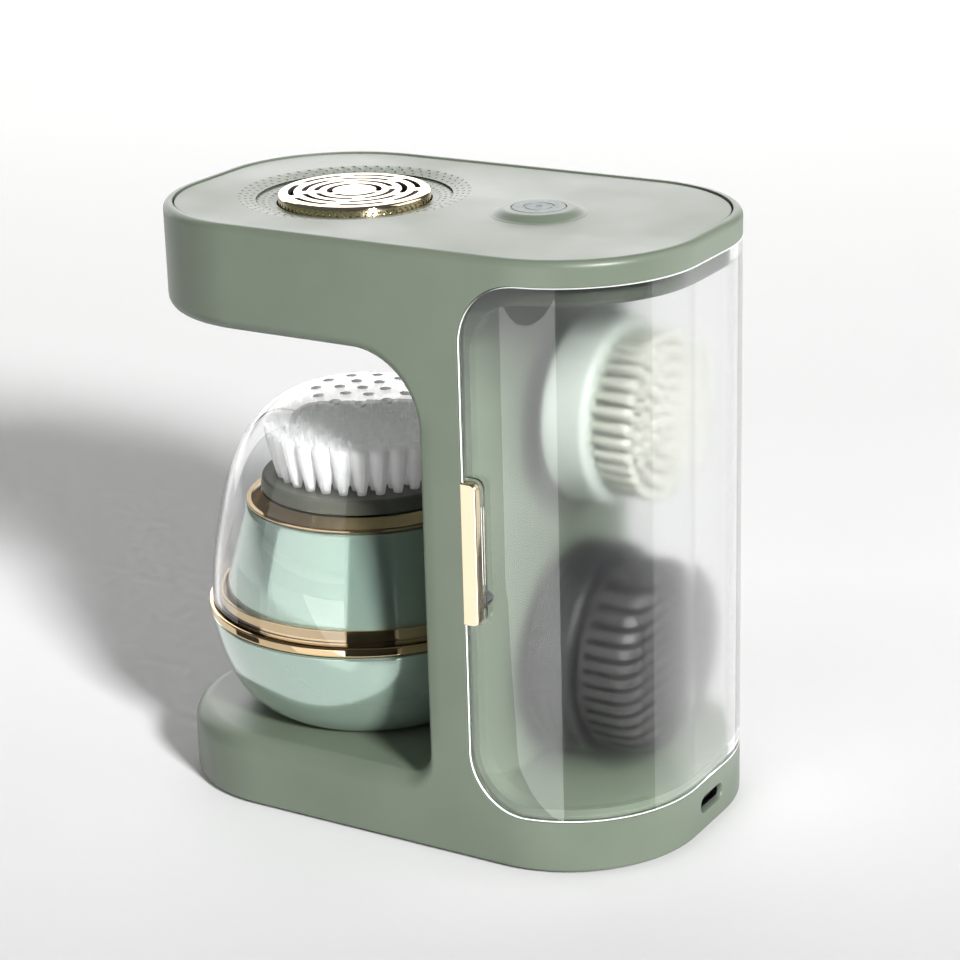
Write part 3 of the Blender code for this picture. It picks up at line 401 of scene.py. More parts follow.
def math_node(tree, operation, *values):
    made = node(tree, "Math", {index: value for index, value in enumerate(values)}, operation=operation)
    return made.outputs[0]


def blended(tree, amount, first, second):
    """A colour between two, by an amount from 0 to 1."""
    mix = node(tree, "Mix", {"Factor": amount}, data_type="RGBA")
    for socket, value in ((mix.inputs[6], first), (mix.inputs[7], second)):
        if isinstance(value, bpy.types.NodeSocket):
            tree.links.new(value, socket)
        else:
            socket.default_value = (*value, 1.0)
    return mix.outputs[2]


def ranged(tree, value, low, high, start=0.35, end=0.65):
    """Maps a noise value onto a range."""
    inputs = {"Value": value, "From Min": start, "From Max": end, "To Min": low, "To Max": high}
    return node(tree, "MapRange", inputs).outputs["Result"]


def noise(tree, place, scale, detail=2.0):
    return node(tree, "TexNoise", {"Vector": place, "Scale": scale, "Detail": detail}).outputs["Fac"]


def axes(tree, place):
    return node(tree, "SeparateXYZ", {"Vector": place}).outputs


def length_of(tree, first, second):
    """The length of a flat vector."""
    flat = node(tree, "CombineXYZ", {"X": first, "Y": second}).outputs[0]
    return node(tree, "VectorMath", {0: flat}, operation="LENGTH").outputs["Value"]


def new_look(name):
    look = bpy.data.materials.new(name)
    look.use_nodes = True
    tree = look.node_tree
    shader = tree.nodes["Principled BSDF"]
    place = node(tree, "TexCoord").outputs["Object"]
    return look, tree, shader, place


def feed(tree, shader, **inputs):
    for name, value in inputs.items():
        socket = shader.inputs[name.replace("_", " ")]
        if isinstance(value, bpy.types.NodeSocket):
            tree.links.new(value, socket)
        else:
            socket.default_value = value


def bump(tree, height, strength, distance):
    inputs = {"Height": height, "Strength": strength, "Distance": distance * MM}
    return node(tree, "Bump", inputs).outputs["Normal"]


def moulded_plastic(name, color, roughness, grain=1100.0, relief=0.12, shift=0.06):
    """Moulded plastic with a fine spark-eroded grain, a faint mottle and softly varied sheen."""
    look, tree, shader, place = new_look(name)
    mottle = noise(tree, place, 38.0, 4.0)
    darker = tuple(channel * (1 - shift) for channel in color)
    lighter = tuple(min(channel * (1 + shift), 1.0) for channel in color)
    fine = noise(tree, place, grain, 3.0)
    feed(tree, shader, Base_Color=blended(tree, ranged(tree, mottle, 0, 1), darker, lighter))
    feed(tree, shader, Roughness=ranged(tree, mottle, roughness - 0.05, roughness + 0.05))
    feed(tree, shader, Normal=bump(tree, fine, relief, 0.05))
    return look


def compartment_painted_shade_plastic():
    """The housing's plastic inside the compartment, with painted shade that deepens towards the ceiling."""
    look, tree, shader, place = new_look("sage_compartment_plastic")
    height = axes(tree, place)[2]
    start = COMPARTMENT_CEILING - SHADE_DEPTH
    share = ranged(tree, height, 0.0, 1.0, start * MM, COMPARTMENT_CEILING * MM)
    mottle = noise(tree, place, 38.0, 4.0)
    lit = blended(tree, mottle, SAGE, tuple(channel * 1.06 for channel in SAGE))
    # Painted shade: the sage darkens to a quarter of itself towards the ceiling.
    feed(tree, shader, Base_Color=blended(tree, share, lit, tuple(channel * 0.25 for channel in SAGE)))
    feed(tree, shader, Roughness=ranged(tree, mottle, 0.38, 0.46))
    feed(tree, shader, Normal=bump(tree, noise(tree, place, 1100.0, 3.0), 0.12, 0.05))
    return look


def pearl_paint():
    """Mint pearl under a clear lacquer: pale where it faces away, deeper where it faces the eye."""
    look, tree, shader, place = new_look("mint_pearl_paint")
    cloud = noise(tree, place, 24.0, 2.0)
    flakes = noise(tree, place, 900.0, 1.0)
    facing = node(tree, "LayerWeight", {"Blend": 0.35}).outputs["Facing"]
    sparkle = ranged(tree, flakes, 0.0, 0.35)
    deep = blended(tree, sparkle, MINT, tuple(channel * 1.06 for channel in MINT))
    pale = blended(tree, facing, deep, MINT_EDGE)
    feed(tree, shader, Base_Color=pale, Metallic=0.70)
    feed(tree, shader, Roughness=ranged(tree, cloud, 0.13, 0.17))
    feed(tree, shader, Coat_Weight=1.0, Coat_Roughness=0.02)
    feed(tree, shader, Normal=bump(tree, cloud, 0.02, 0.02))
    return look


def plated_metal(name, color, roughness):
    """Plated metal with faint polishing streaks and a little unevenness in its shine."""
    look, tree, shader, place = new_look(name)
    stretched = node(tree, "Mapping", {"Vector": place, "Scale": STREAK_SCALE}).outputs["Vector"]
    lines = noise(tree, stretched, 1.0, 3.0)
    cloud = noise(tree, place, 160.0, 2.0)
    warm = tuple(channel * 0.93 for channel in color)
    feed(tree, shader, Base_Color=blended(tree, cloud, warm, color), Metallic=1.0)
    feed(tree, shader, Roughness=ranged(tree, lines, roughness * 0.7, roughness * 1.4))
    feed(tree, shader, Normal=bump(tree, lines, 0.02, 0.01))
    return look


def light_through(tree, shader, share, tint):
    """Lets light pass for shadows, so that what is behind clear plastic is lit."""
    output = tree.nodes["Material Output"]
    open_way = node(tree, "BsdfTransparent", {"Color": (*tint, 1.0)}).outputs[0]
    shadow = node(tree, "LightPath").outputs["Is Shadow Ray"]
    amount = math_node(tree, "MULTIPLY", shadow, share)
    mixed = node(tree, "MixShader", {0: amount, 1: shader.outputs[0], 2: open_way}).outputs[0]
    tree.links.new(mixed, output.inputs["Surface"])


def clear_plastic(name, tint, share, roughness=0.0):
    """Polished clear plastic with a breath of haze."""
    look, tree, shader, place = new_look(name)
    haze = noise(tree, place, 45.0, 3.0)
    feed(tree, shader, Base_Color=(*tint, 1.0), Transmission_Weight=1.0, IOR=1.47)
    feed(tree, shader, Roughness=ranged(tree, haze, roughness, roughness + 0.006))
    light_through(tree, shader, share, tint)
    return look


def door_border(tree, place):
    """0 on the door's clear border and 1 on its frosted middle."""
    x, _, z = axes(tree, place)
    middle_z = (DOOR_LOW.z + DOOR_HIGH.z) / 2 * MM
    half_z = (DOOR_HIGH.z - DOOR_LOW.z) / 2 * MM
    radius = DOOR_CORNER_RADIUS * MM
    from_left = math_node(tree, "SUBTRACT", DOOR_LOW.x * MM + radius, x)
    off_middle = math_node(tree, "ABSOLUTE", math_node(tree, "SUBTRACT", z, middle_z))
    past_top = math_node(tree, "SUBTRACT", off_middle, half_z - radius)
    out_x = math_node(tree, "MAXIMUM", from_left, 0.0)
    out_z = math_node(tree, "MAXIMUM", past_top, 0.0)
    outside = length_of(tree, out_x, out_z)
    inside = math_node(tree, "MINIMUM", math_node(tree, "MAXIMUM", from_left, past_top), 0.0)
    depth = math_node(tree, "SUBTRACT", radius, math_node(tree, "ADD", outside, inside))
    return ranged(tree, depth, 0.0, 1.0, BORDER_WIDTH * MM, (BORDER_WIDTH + 0.5) * MM)


def frosted_plastic():
    """The door's inner face: clear along its border and finely frosted in the middle."""
    look, tree, shader, place = new_look("door_frosted_face")
    frost = door_border(tree, place)
    grain = noise(tree, place, 2600.0, 2.0)
    feed(tree, shader, Base_Color=(*FROST_TINT, 1.0), Transmission_Weight=1.0, IOR=1.47)
    feed(tree, shader, Roughness=ranged(tree, frost, 0.03, FROST_ROUGHNESS, 0.0, 1.0))
    relief = math_node(tree, "MULTIPLY", grain, frost)
    feed(tree, shader, Normal=bump(tree, relief, 0.25, 0.03))
    light_through(tree, shader, 0.33, FROST_TINT)
    return look


def painted_glow_edge(name, glow):
    """A polished edge of clear plastic, painted pale and given a painted glow."""
    look, tree, shader, place = new_look(name)
    cloud = noise(tree, place, 120.0, 2.0)
    feed(tree, shader, Base_Color=blended(tree, cloud, (0.80, 0.83, 0.81), (0.93, 0.95, 0.94)))
    feed(tree, shader, Roughness=ranged(tree, cloud, 0.05, 0.12), IOR=1.47)
    # Painted glow: this edge is no lamp.
    feed(tree, shader, Emission_Color=(1.0, 1.0, 1.0, 1.0), Emission_Strength=glow)
    return look


def door_side_painted_glow_and_shade():
    """The door's side faces, seen through its front: a painted glowing line beside the outer face, then
    painted shade in a darkened copy of the sage.
    """
    look, tree, shader, place = new_look("door_side_painted_glow_and_shade")
    x, y, _ = axes(tree, place)
    past_x = math_node(tree, "SUBTRACT", x, (HALF_LENGTH - CORNER_RADIUS) * MM)
    off_y = math_node(tree, "SUBTRACT", math_node(tree, "ABSOLUTE", y), (HALF_WIDTH - CORNER_RADIUS) * MM)
    away = length_of(tree, math_node(tree, "MAXIMUM", past_x, 0.0), off_y)
    line_start = CORNER_RADIUS - PAINTED_GLOW_LINE_DEPTH
    share = ranged(tree, away, 0.0, 1.0, line_start * MM, (line_start + 0.2) * MM)
    cloud = noise(tree, place, 120.0, 2.0)
    pale = blended(tree, cloud, (0.86, 0.88, 0.87), (0.95, 0.96, 0.955))
    # Painted light: SAGE_SHADE is painted shade, and the pale line is a painted glow.
    feed(tree, shader, Base_Color=blended(tree, share, SAGE_SHADE, pale), Roughness=0.2)
    feed(tree, shader, Emission_Color=pale, Emission_Strength=math_node(tree, "MULTIPLY", share, 0.5))
    return look


def filament(name, root, tip, height_axis=2, start=0.0, end=1.0, glow=0.0):
    """Nylon filament: a little light passes through it, it is paler towards its tip, and it can carry a
    painted glow.
    """
    look, tree, shader, place = new_look(name)
    along = axes(tree, place)[height_axis]
    share = ranged(tree, along, 0.0, 1.0, start * MM, end * MM)
    strand = noise(tree, place, 700.0, 1.0)
    shade = blended(tree, share, root, tip)
    feed(tree, shader, Base_Color=blended(tree, ranged(tree, strand, 0.0, 0.25), shade, tip))
    feed(tree, shader, Roughness=ranged(tree, strand, 0.35, 0.55))
    feed(tree, shader, Subsurface_Weight=0.3, Subsurface_Radius=(0.002, 0.002, 0.002), Subsurface_Scale=0.5)
    # The emission is a painted glow, not a lamp.
    feed(tree, shader, Emission_Color=shade, Emission_Strength=glow)
    return look


def milky_plastic(name, pale, deep):
    """Translucent lens plastic, a little darker towards the top button's middle."""
    look, tree, shader, place = new_look(name)
    x, y, _ = axes(tree, place)
    away = length_of(tree, math_node(tree, "SUBTRACT", x, BUTTON_X * MM), y)
    share = ranged(tree, away, 0.0, 1.0, 2.0 * MM, 6.0 * MM)
    grain = noise(tree, place, 900.0)
    feed(tree, shader, Base_Color=blended(tree, share, deep, pale))
    feed(tree, shader, Roughness=ranged(tree, grain, 0.42, 0.50), Specular_IOR_Level=0.4)
    feed(tree, shader, Subsurface_Weight=0.2, Subsurface_Radius=(0.002, 0.002, 0.002), Subsurface_Scale=1.0)
    feed(tree, shader, Normal=bump(tree, grain, 0.05, 0.02))
    return look


def rubber():
    look, tree, shader, place = new_look("black_rubber")
    fine = noise(tree, place, 900.0, 4.0)
    feed(tree, shader, Base_Color=blended(tree, fine, (0.030, 0.030, 0.032), (0.055, 0.055, 0.058)))
    feed(tree, shader, Roughness=ranged(tree, fine, 0.7, 0.9), Normal=bump(tree, fine, 0.3, 0.05))
    return look


def circuit_board():
    """Solder mask with copper tracks just under it."""
    look, tree, shader, place = new_look("circuit_board_mask")
    inputs = {"Vector": place, "Scale": 220.0, "Mortar Size": 0.05}
    inputs["Color1"] = (0.012, 0.10, 0.05, 1)
    inputs["Color2"] = (0.015, 0.13, 0.06, 1)
    inputs["Mortar"] = (0.05, 0.30, 0.13, 1)
    tracks = node(tree, "TexBrick", inputs)
    feed(tree, shader, Base_Color=tracks.outputs["Color"], Roughness=0.35)
    feed(tree, shader, Normal=bump(tree, tracks.outputs["Fac"], 0.3, 0.03))
    return look


def wound_copper():
    look, tree, shader, place = new_look("copper_windings")
    x, y, _ = axes(tree, place)
    radius = length_of(tree, math_node(tree, "SUBTRACT", x, BRUSH_X * MM), y)
    turns = math_node(tree, "SINE", math_node(tree, "MULTIPLY", radius, FULL / (WIRE_PITCH * MM)))
    share = ranged(tree, turns, 0.0, 1.0, -1.0, 1.0)
    feed(tree, shader, Base_Color=blended(tree, share, (0.30, 0.10, 0.04), (0.80, 0.42, 0.22)))
    feed(tree, shader, Metallic=1.0, Roughness=0.3, Normal=bump(tree, share, 0.5, 0.1))
    return look


def foam():
    look, tree, shader, place = new_look("filter_foam")
    cells = node(tree, "TexVoronoi", {"Vector": place, "Scale": 1400.0}).outputs["Distance"]
    feed(tree, shader, Base_Color=blended(tree, cells, (0.012, 0.012, 0.012), (0.055, 0.055, 0.053)))
    feed(tree, shader, Roughness=0.95, Normal=bump(tree, cells, 0.8, 0.3))
    return look


SAGE = (0.128, 0.156, 0.115)
# SAGE_SHADE is a darkened copy of SAGE, used as painted shade.
SAGE_SHADE = (0.055, 0.067, 0.050)
MINT = (0.37, 0.50, 0.425)
MINT_EDGE = (0.58, 0.68, 0.62)
GOLD = (0.95, 0.80, 0.57)
DEEP_GOLD = (0.82, 0.61, 0.36)
HEAD_GREY = (0.062, 0.065, 0.049)
FROST_TINT = (0.95, 0.955, 0.955)
FROST_ROUGHNESS = 0.25
BORDER_WIDTH = 3.0
PAINTED_GLOW_LINE_DEPTH = 1.0
WIRE_PITCH = 0.6
STREAK_SCALE = (60.0, 60.0, 1500.0)
# How far below the compartment's ceiling the painted shade begins.
SHADE_DEPTH = 26.0

sage = moulded_plastic("sage_moulded_plastic", SAGE, 0.40)
sage_inside_painted_shade = compartment_painted_shade_plastic()
mint = pearl_paint()
gold = plated_metal("pale_gold_plating", GOLD, 0.06)
deep_gold = plated_metal("deep_gold_plating", DEEP_GOLD, 0.06)
steel = plated_metal("plain_steel", (0.56, 0.56, 0.58), 0.28)
blackened = plated_metal("blackened_steel", (0.10, 0.10, 0.105), 0.25)
clear = clear_plastic("clear_dome_plastic", (0.985, 0.99, 0.99), 0.80)
door_clear = clear_plastic("door_clear_face", (0.975, 0.98, 0.98), 0.85)
door_frosted = frosted_plastic()
# The door's edges and the dome's hole walls carry a painted glow.
door_edge_glow = painted_glow_edge("door_bright_edge", 0.30)
door_side = door_side_painted_glow_and_shade()
hole_wall_glow = painted_glow_edge("dome_hole_wall", 0.05)
head_grey = moulded_plastic("head_grey_plastic", HEAD_GREY, 0.38)
charcoal = moulded_plastic("charcoal_plastic", (0.012, 0.012, 0.013), 0.30)
pale_mint = moulded_plastic("pale_mint_plastic", (0.50, 0.55, 0.50), 0.40)
dark = moulded_plastic("dark_plastic", (0.05, 0.05, 0.052), 0.45)
nylon = moulded_plastic("gear_nylon", (0.78, 0.76, 0.70), 0.40)
button_lens = milky_plastic("button_milky_plastic", (0.20, 0.23, 0.22), (0.13, 0.17, 0.175))
# The white bristles carry a painted glow of 0.14.
white_filament = filament("white_filament", (0.66,) * 3, (0.78,) * 3, 2, 73.0, 88.0, 0.14)
cream_filament = filament("cream_filament", (0.42, 0.46, 0.38), (0.56, 0.56, 0.50), 0, 44.0, 56.0)
charcoal_filament = filament("charcoal_filament", (0.018,) * 3, (0.042, 0.042, 0.041), 0, 42.0, 55.0)
black_rubber = rubber()
board = circuit_board()
copper = wound_copper()
filter_foam = foam()

CAD_LOOKS = {
    "sage_plastic": sage,
    "mint_pearl": mint,
    "gold_trim": gold,
    "clear_plastic": clear,
    "frosted_plastic": door_frosted,
    "white_bristle": nylon,
    "charcoal_plastic": charcoal,
    "gear_nylon": nylon,
    "filter_foam": filter_foam,
    "steel": steel,
    "rubber": black_rubber,
    "circuit_board": board,
    "copper": copper,
    "dark_plastic": dark,
}


def paint_cad_nodes():
    for name, piece in frame["nodes"].items():
        piece.data.materials.clear()
        piece.data.materials.append(CAD_LOOKS[SLOT_OF[name]])


# ---- dock housing ----

def bay_shape():
    upper = (BAY_WALL_X - BAY_UPPER_FILLET, ARM_UNDERSIDE - BAY_UPPER_FILLET)
    lower = (BAY_WALL_X - BAY_LOWER_FILLET, DECK_TOP + BAY_LOWER_FILLET)
    far = -HALF_LENGTH - WALL
    outline = [(far, ARM_UNDERSIDE), (far, DECK_TOP)]
    outline += fillet_points(lower, BAY_LOWER_FILLET, -QUARTER, 0, 10)
    outline += fillet_points(upper, BAY_UPPER_FILLET, 0, QUARTER, 16)
    return along_y(outline, -THROUGH, THROUGH)


def edge_radius(middle):
    """How round the housing's edge is at a place on it."""
    z = middle.z / MM
    if z > DOCK_TOP - 0.1:
        return RIM_FILLET
    if z < DOCK_BOTTOM + 0.1:
        return BOTTOM_FILLET
    lower_share = min(max((z - DECK_TOP) / BAY_LOWER_FILLET, 0.0), 1.0)
    upper_start = ARM_UNDERSIDE - BAY_UPPER_FILLET
    upper_share = min(max((z - upper_start) / BAY_UPPER_FILLET, 0.0), 1.0)
    if z < upper_start:
        return DECK_EDGE + (COLUMN_EDGE - DECK_EDGE) * lower_share
    return COLUMN_EDGE + (ARM_EDGE - COLUMN_EDGE) * upper_share


def round_housing_edges(piece):
    """Rounds each sharp edge by its own radius."""
    widest = max(DECK_EDGE, ARM_EDGE)
    body = bmesh.new()
    body.from_mesh(piece.data)
    weight = body.edges.layers.float.new("bevel_weight_edge")
    for edge in body.edges:
        if edge.is_manifold and edge.calc_face_angle() > math.radians(50):
            middle = (edge.verts[0].co + edge.verts[1].co) / 2
            edge[weight] = edge_radius(middle) / widest
    body.to_mesh(piece.data)
    body.free()
    bevel = piece.modifiers.new("fillets", "BEVEL")
    bevel.limit_method = "WEIGHT"
    bevel.width = widest * MM
    bevel.segments = 6
    bevel.use_clamp_overlap = False
    return bake(piece)


def door_blank(start_x, end_x, outside, inside, margin):
    """A band round the dock's end, from the handle edge to the hinge edge, with two round front corners."""
    limit = HALF_LENGTH - CORNER_RADIUS
    outline = dock_outline(0.0, DOOR_STEPS)
    front = [point for point in outline if point[0] >= limit - 0.01 and point[1] < 0]
    back = [point for point in outline if point[0] >= limit - 0.01 and point[1] > 0]
    middle_y = HALF_WIDTH - CORNER_RADIUS
    low, high = DOOR_BOTTOM + margin, DOOR_TOP - margin
    rungs = []
    for x, y in [(start_x, -HALF_WIDTH)] + front + back + [(end_x, HALF_WIDTH)]:
        toward = Vector((max(x - limit, 0.0), y - math.copysign(middle_y, y))).normalized()
        out_x, out_y = x + toward.x * outside, y + toward.y * outside
        in_x, in_y = x - toward.x * inside, y - toward.y * inside
        rungs.append([(out_x, out_y, low), (out_x, out_y, high), (in_x, in_y, high), (in_x, in_y, low)])
    blank = new_object("door_blank", loft_shape(rungs))
    radius = DOOR_CORNER_RADIUS - margin
    middle_x = start_x + radius
    corners = []
    for centre_z, end, far_z in ((high - radius, QUARTER, high + 2), (low + radius, 3 * QUARTER, low - 2)):
        outline = [(start_x - 2, centre_z)]
        outline += fillet_points((middle_x, centre_z), radius, math.pi, end, 18)
        outline += [(middle_x, far_z), (start_x - 2, far_z)]
        corners.append(along_y(outline, -THROUGH, -10.0))
    return cut(blank, *corners)


def compartment_shapes():
    band = door_blank(DOOR_EDGE_X, HINGE_JAMB_X, 3.0, DOOR_THICKNESS + GAP, 0.0)
    low = (COMPARTMENT_X + COMPARTMENT_FILLET, COMPARTMENT_FLOOR + COMPARTMENT_FILLET)
    high = (COMPARTMENT_X + COMPARTMENT_FILLET, COMPARTMENT_CEILING - COMPARTMENT_FILLET)
    far = HALF_LENGTH + WALL
    outline = [(far, COMPARTMENT_FLOOR), (far, COMPARTMENT_CEILING)]
    outline += fillet_points(high, COMPARTMENT_FILLET, QUARTER, math.pi, 14)
    outline += fillet_points(low, COMPARTMENT_FILLET, math.pi, 3 * QUARTER, 14)
    mouth = along_y(outline, -HALF_WIDTH + 1.7, -HALF_WIDTH + 2 * WALL)
    room_y = (-HALF_WIDTH + 2 * WALL - 1, HALF_WIDTH - 1.7)
    room = box_shape((COMPARTMENT_X, far), room_y, (COMPARTMENT_FLOOR, COMPARTMENT_CEILING))
    well = moved(rod_shape(HINGE_WELL_RADIUS, DOOR_BOTTOM, DOOR_TOP, 40), (HINGE_X, HINGE_Y, 0))
    return [band, mouth, room, well]


def usb_slot_shape():
    low, high = box_mm("usb_socket")
    middle_z = (low.z + high.z) / 2
    half_width = (high.y - low.y) / 2 + GAP
    half_height = (high.z - low.z) / 2 + GAP
    sections = ((HALF_LENGTH - 2 * WALL, 0.0), (HALF_LENGTH - 0.7, 0.0), (HALF_LENGTH + 0.6, 0.75))
    loops = []
    for x, wider in sections:
        outline = stadium(half_width + wider, half_height + wider)
        loops.append([(x, y, middle_z + z) for y, z in outline])
    return loft_shape(loops)


def hollow_shapes():
    """The panel's seat, the arm's and base's hollows, and the arm's air and lamp openings."""
    seat = prism_shape(dock_outline(RIM_WIDTH), PANEL_SEAT, DOCK_TOP + WALL)
    arm = prism_shape(left_of(dock_outline(WALL), ARM_HOLLOW_END), ARM_UNDERSIDE + 3, PANEL_SEAT + GAP)
    pocket = box_shape(SWITCH_POCKET_X, SWITCH_POCKET_Y, (SWITCH_POCKET_FLOOR, PANEL_SEAT + 2 * GAP))
    base = prism_shape(dock_outline(WALL), -WALL, BASE_HOLLOW_TOP)
    well = moved(rod_shape(COIL_WELL_RADIUS, BASE_HOLLOW_TOP - 1, DECK_TOP - 2.5), PLACE)
    grille_low, grille_high = box_mm("air_outlet_grille")
    outlet_radius = (grille_high.x - grille_low.x) / 2 + GAP
    outlet = moved(rod_shape(outlet_radius, ARM_UNDERSIDE - 2, ARM_UNDERSIDE + 4), PLACE)
    lens_low, lens_high = box_mm("uv_lens")
    lamp_x, lamp_y = ((lens_low[axis] - GAP, lens_high[axis] + GAP) for axis in (0, 1))
    lamp = box_shape(lamp_x, lamp_y, (ARM_UNDERSIDE - 2, ARM_UNDERSIDE + 4))
    return [seat, arm, pocket, base, well, outlet, lamp]


def post_bores():
    bores = []
    for name in ("head_post_upper", "head_post_lower"):
        low, high = box_mm(name)
        bore = rod_shape((high.y - low.y) / 2 + GAP, low.x - GAP, COMPARTMENT_X + 1, 32)
        bores.append(moved(bore, (0, 0, (low.z + high.z) / 2), (0, QUARTER, 0)))
    return grouped(bores)


def in_compartment(middle, _):
    """Whether a face lies behind the door."""
    if middle.x < DOOR_EDGE_X + 1.0 or not DOOR_BOTTOM + 1.0 < middle.z < DOOR_TOP - 0.05:
        return False
    return corner_vector(middle).length < CORNER_RADIUS - DOOR_THICKNESS + 0.1


def make_housing():
    housing = new_object("dock_housing_fine", prism_shape(dock_outline(0.0, 24), DOCK_BOTTOM, DOCK_TOP))
    cut(housing, bay_shape())
    round_housing_edges(housing)
    cut(housing, *hollow_shapes(), *compartment_shapes(), post_bores(), usb_slot_shape())
    soften(housing, 0.28)
    stand_for(housing, "dock_housing", sage)
    # The faces behind the door get the painted shade.
    paint_faces(housing, sage_inside_painted_shade, in_compartment)


# ---- top panel ----

PERFORATION_ROWS = 6
PERFORATION_COUNT = 60
PANEL_BOSS_RADIUS = 29.0


def perforation_shapes():
    """Rows of small slanting holes round the dish, each row a half step on from the one inside it."""
    rows, count = PERFORATION_ROWS, PERFORATION_COUNT
    steps = [FULL * index / 8 for index in range(8)]
    outline = [(0.42 * math.cos(step), 0.27 * math.sin(step)) for step in steps]
    upright = prism_shape(outline, PANEL_LOW.z - 1, PANEL_HIGH.z + 1)
    holes = []
    for row in range(rows):
        radius = DISH_FLOOR_RADIUS + 1.15 + row * (DISH_RADIUS - DISH_FLOOR_RADIUS - 1.6) / (rows - 1)
        for index in range(count):
            turn = FULL * (index + 0.5 * row) / count
            hole = moved(upright, turn=(0, 0, turn + 0.6))
            holes.append(moved(hole, (BRUSH_X + radius * math.cos(turn), radius * math.sin(turn), 0)))
    return grouped(holes)


def pad_shape():
    profile = [(0, PANEL_HIGH.z - PAD_HEIGHT - 0.6), (PAD_RADIUS, PANEL_HIGH.z - PAD_HEIGHT - 0.6)]
    base = PANEL_HIGH.z - PAD_HEIGHT
    steps = 12
    for index in range(steps + 1):
        share = index / steps
        rise = (1 - math.cos(math.pi * share)) / 2
        profile.append((PAD_RADIUS + (PAD_TOP_RADIUS - PAD_RADIUS) * share, base + PAD_HEIGHT * rise))
    return lathe_shape(profile + [(0, PANEL_HIGH.z)], 96)


def make_top_panel():
    surface = PANEL_HIGH.z - PAD_HEIGHT - 0.05
    levels = []
    for inset, z in ((0.0, PANEL_SEAT + GAP), (0.0, surface - 0.5), (0.15, surface - 0.15), (0.5, surface)):
        levels.append([(x, y, z) for x, y in dock_outline(RIM_WIDTH + GAP + inset, 24)])
    panel = new_object("top_panel_fine", loft_shape(levels))
    dish_floor = surface - DISH_DEPTH
    boss = moved(rod_shape(PANEL_BOSS_RADIUS, PANEL_LOW.z, dish_floor + 0.4, 96), PLACE)
    join(panel, boss, moved(pad_shape(), (BUTTON_X, 0, 0)))
    slope = DISH_DEPTH / (DISH_RADIUS - DISH_FLOOR_RADIUS)
    dish = [(0, dish_floor), (DISH_FLOOR_RADIUS, dish_floor), (DISH_RADIUS, surface)]
    dish += [(DISH_RADIUS + 2, surface + 2 * slope), (0, surface + 3)]
    bore = moved(rod_shape(CAP_RADIUS + GAP, PANEL_LOW.z - 1, surface + 1, 96), PLACE)
    button_bore = rod_shape(BUTTON_RADIUS + 0.15, PANEL_LOW.z - 1, PANEL_HIGH.z + 1, 64)
    button_bore = moved(button_bore, (BUTTON_X, 0, 0))
    cut(panel, moved(lathe_shape(dish, 120), PLACE), bore, button_bore, perforation_shapes())
    stand_for(panel, "top_panel", sage, 30.0)


# ---- filter cap and top button ----

CAP_RADIUS = (CAP_HIGH.x - CAP_LOW.x) / 2
CAP_EDGE = 0.8
CAP_WALL = 1.5
CAP_PLATE = 1.3
CAP_SLOT_WIDTH = 1.35
# Each ring of slots: radius, number of slots, share of the ring that is open, and where it starts.
CAP_SLOT_RINGS = ((5.6, 3, 0.78, 0.3), (8.6, 4, 0.72, 0.9), (11.4, 5, 0.74, 0.2), (14.4, 7, 0.70, 0.6))
KNURL_COUNT = 72
KNURL_DEPTH = 0.45


def knurl_shapes():
    """Two rows of small round pockets in the cap's side, and three notches under them."""
    pockets = []
    pocket = rod_shape(0.45, CAP_RADIUS - KNURL_DEPTH, CAP_RADIUS + 1, 6)
    for row, drop in enumerate((1.75, 2.85)):
        for index in range(KNURL_COUNT):
            turn = FULL * (index + 0.5 * row) / KNURL_COUNT
            upright = moved(pocket, turn=(0, QUARTER, 0))
            pockets.append(moved(upright, (0, 0, CAP_HIGH.z - drop), (0, 0, turn)))
    notch = box_shape((CAP_RADIUS - 0.8, CAP_RADIUS + 1), (-1.9, 1.9), (CAP_HIGH.z - 4.1, CAP_HIGH.z - 3.1))
    notches = [moved(notch, turn=(0, 0, FULL * index / 3 - 0.62)) for index in range(3)]
    return [moved(grouped(pockets), PLACE), moved(grouped(notches), PLACE)]


def cap_slot_shape():
    slots = []
    for radius, count, share, first in CAP_SLOT_RINGS:
        for index in range(count):
            start = first + FULL * index / count
            end = start + FULL * share / count
            slots.append(arc_slot_shape(radius, CAP_SLOT_WIDTH, start, end, CAP_HIGH.z - 3, CAP_HIGH.z + 1))
    return moved(grouped(slots), PLACE)


# The cap's slot walls, which are painted dark as painted shade.
def painted_shade_slot_wall(middle, normal):
    return from_brush_axis(middle) < CAP_RADIUS - CAP_WALL and abs(normal.z) < 0.5


def make_filter_cap():
    top, bottom = CAP_HIGH.z, CAP_LOW.z
    inner = CAP_RADIUS - CAP_WALL
    profile = [(0, top)]
    profile += fillet_points((CAP_RADIUS - CAP_EDGE, top - CAP_EDGE), CAP_EDGE, QUARTER, 0, 6)
    profile += [(CAP_RADIUS, bottom), (inner, bottom), (inner, top - CAP_PLATE), (0, top - CAP_PLATE)]
    cap = new_object("filter_cap_fine", moved(lathe_shape(profile, 144), PLACE))
    lug = box_shape((CAP_RADIUS - 0.9, CAP_RADIUS + 1.3), (-2.2, 2.2), (bottom + 0.05, bottom + 1.4))
    join(cap, grouped([moved(lug, PLACE, (0, 0, FULL * index / 3 - math.pi / 6)) for index in range(3)]))
    cut(cap, cap_slot_shape(), *knurl_shapes())
    soften(cap, 0.1, 2)
    stand_for(cap, "filter_cap", gold)
    # Painted shade: the slot walls are painted dark in place of gold.
    paint_faces(cap, dark, painted_shade_slot_wall)


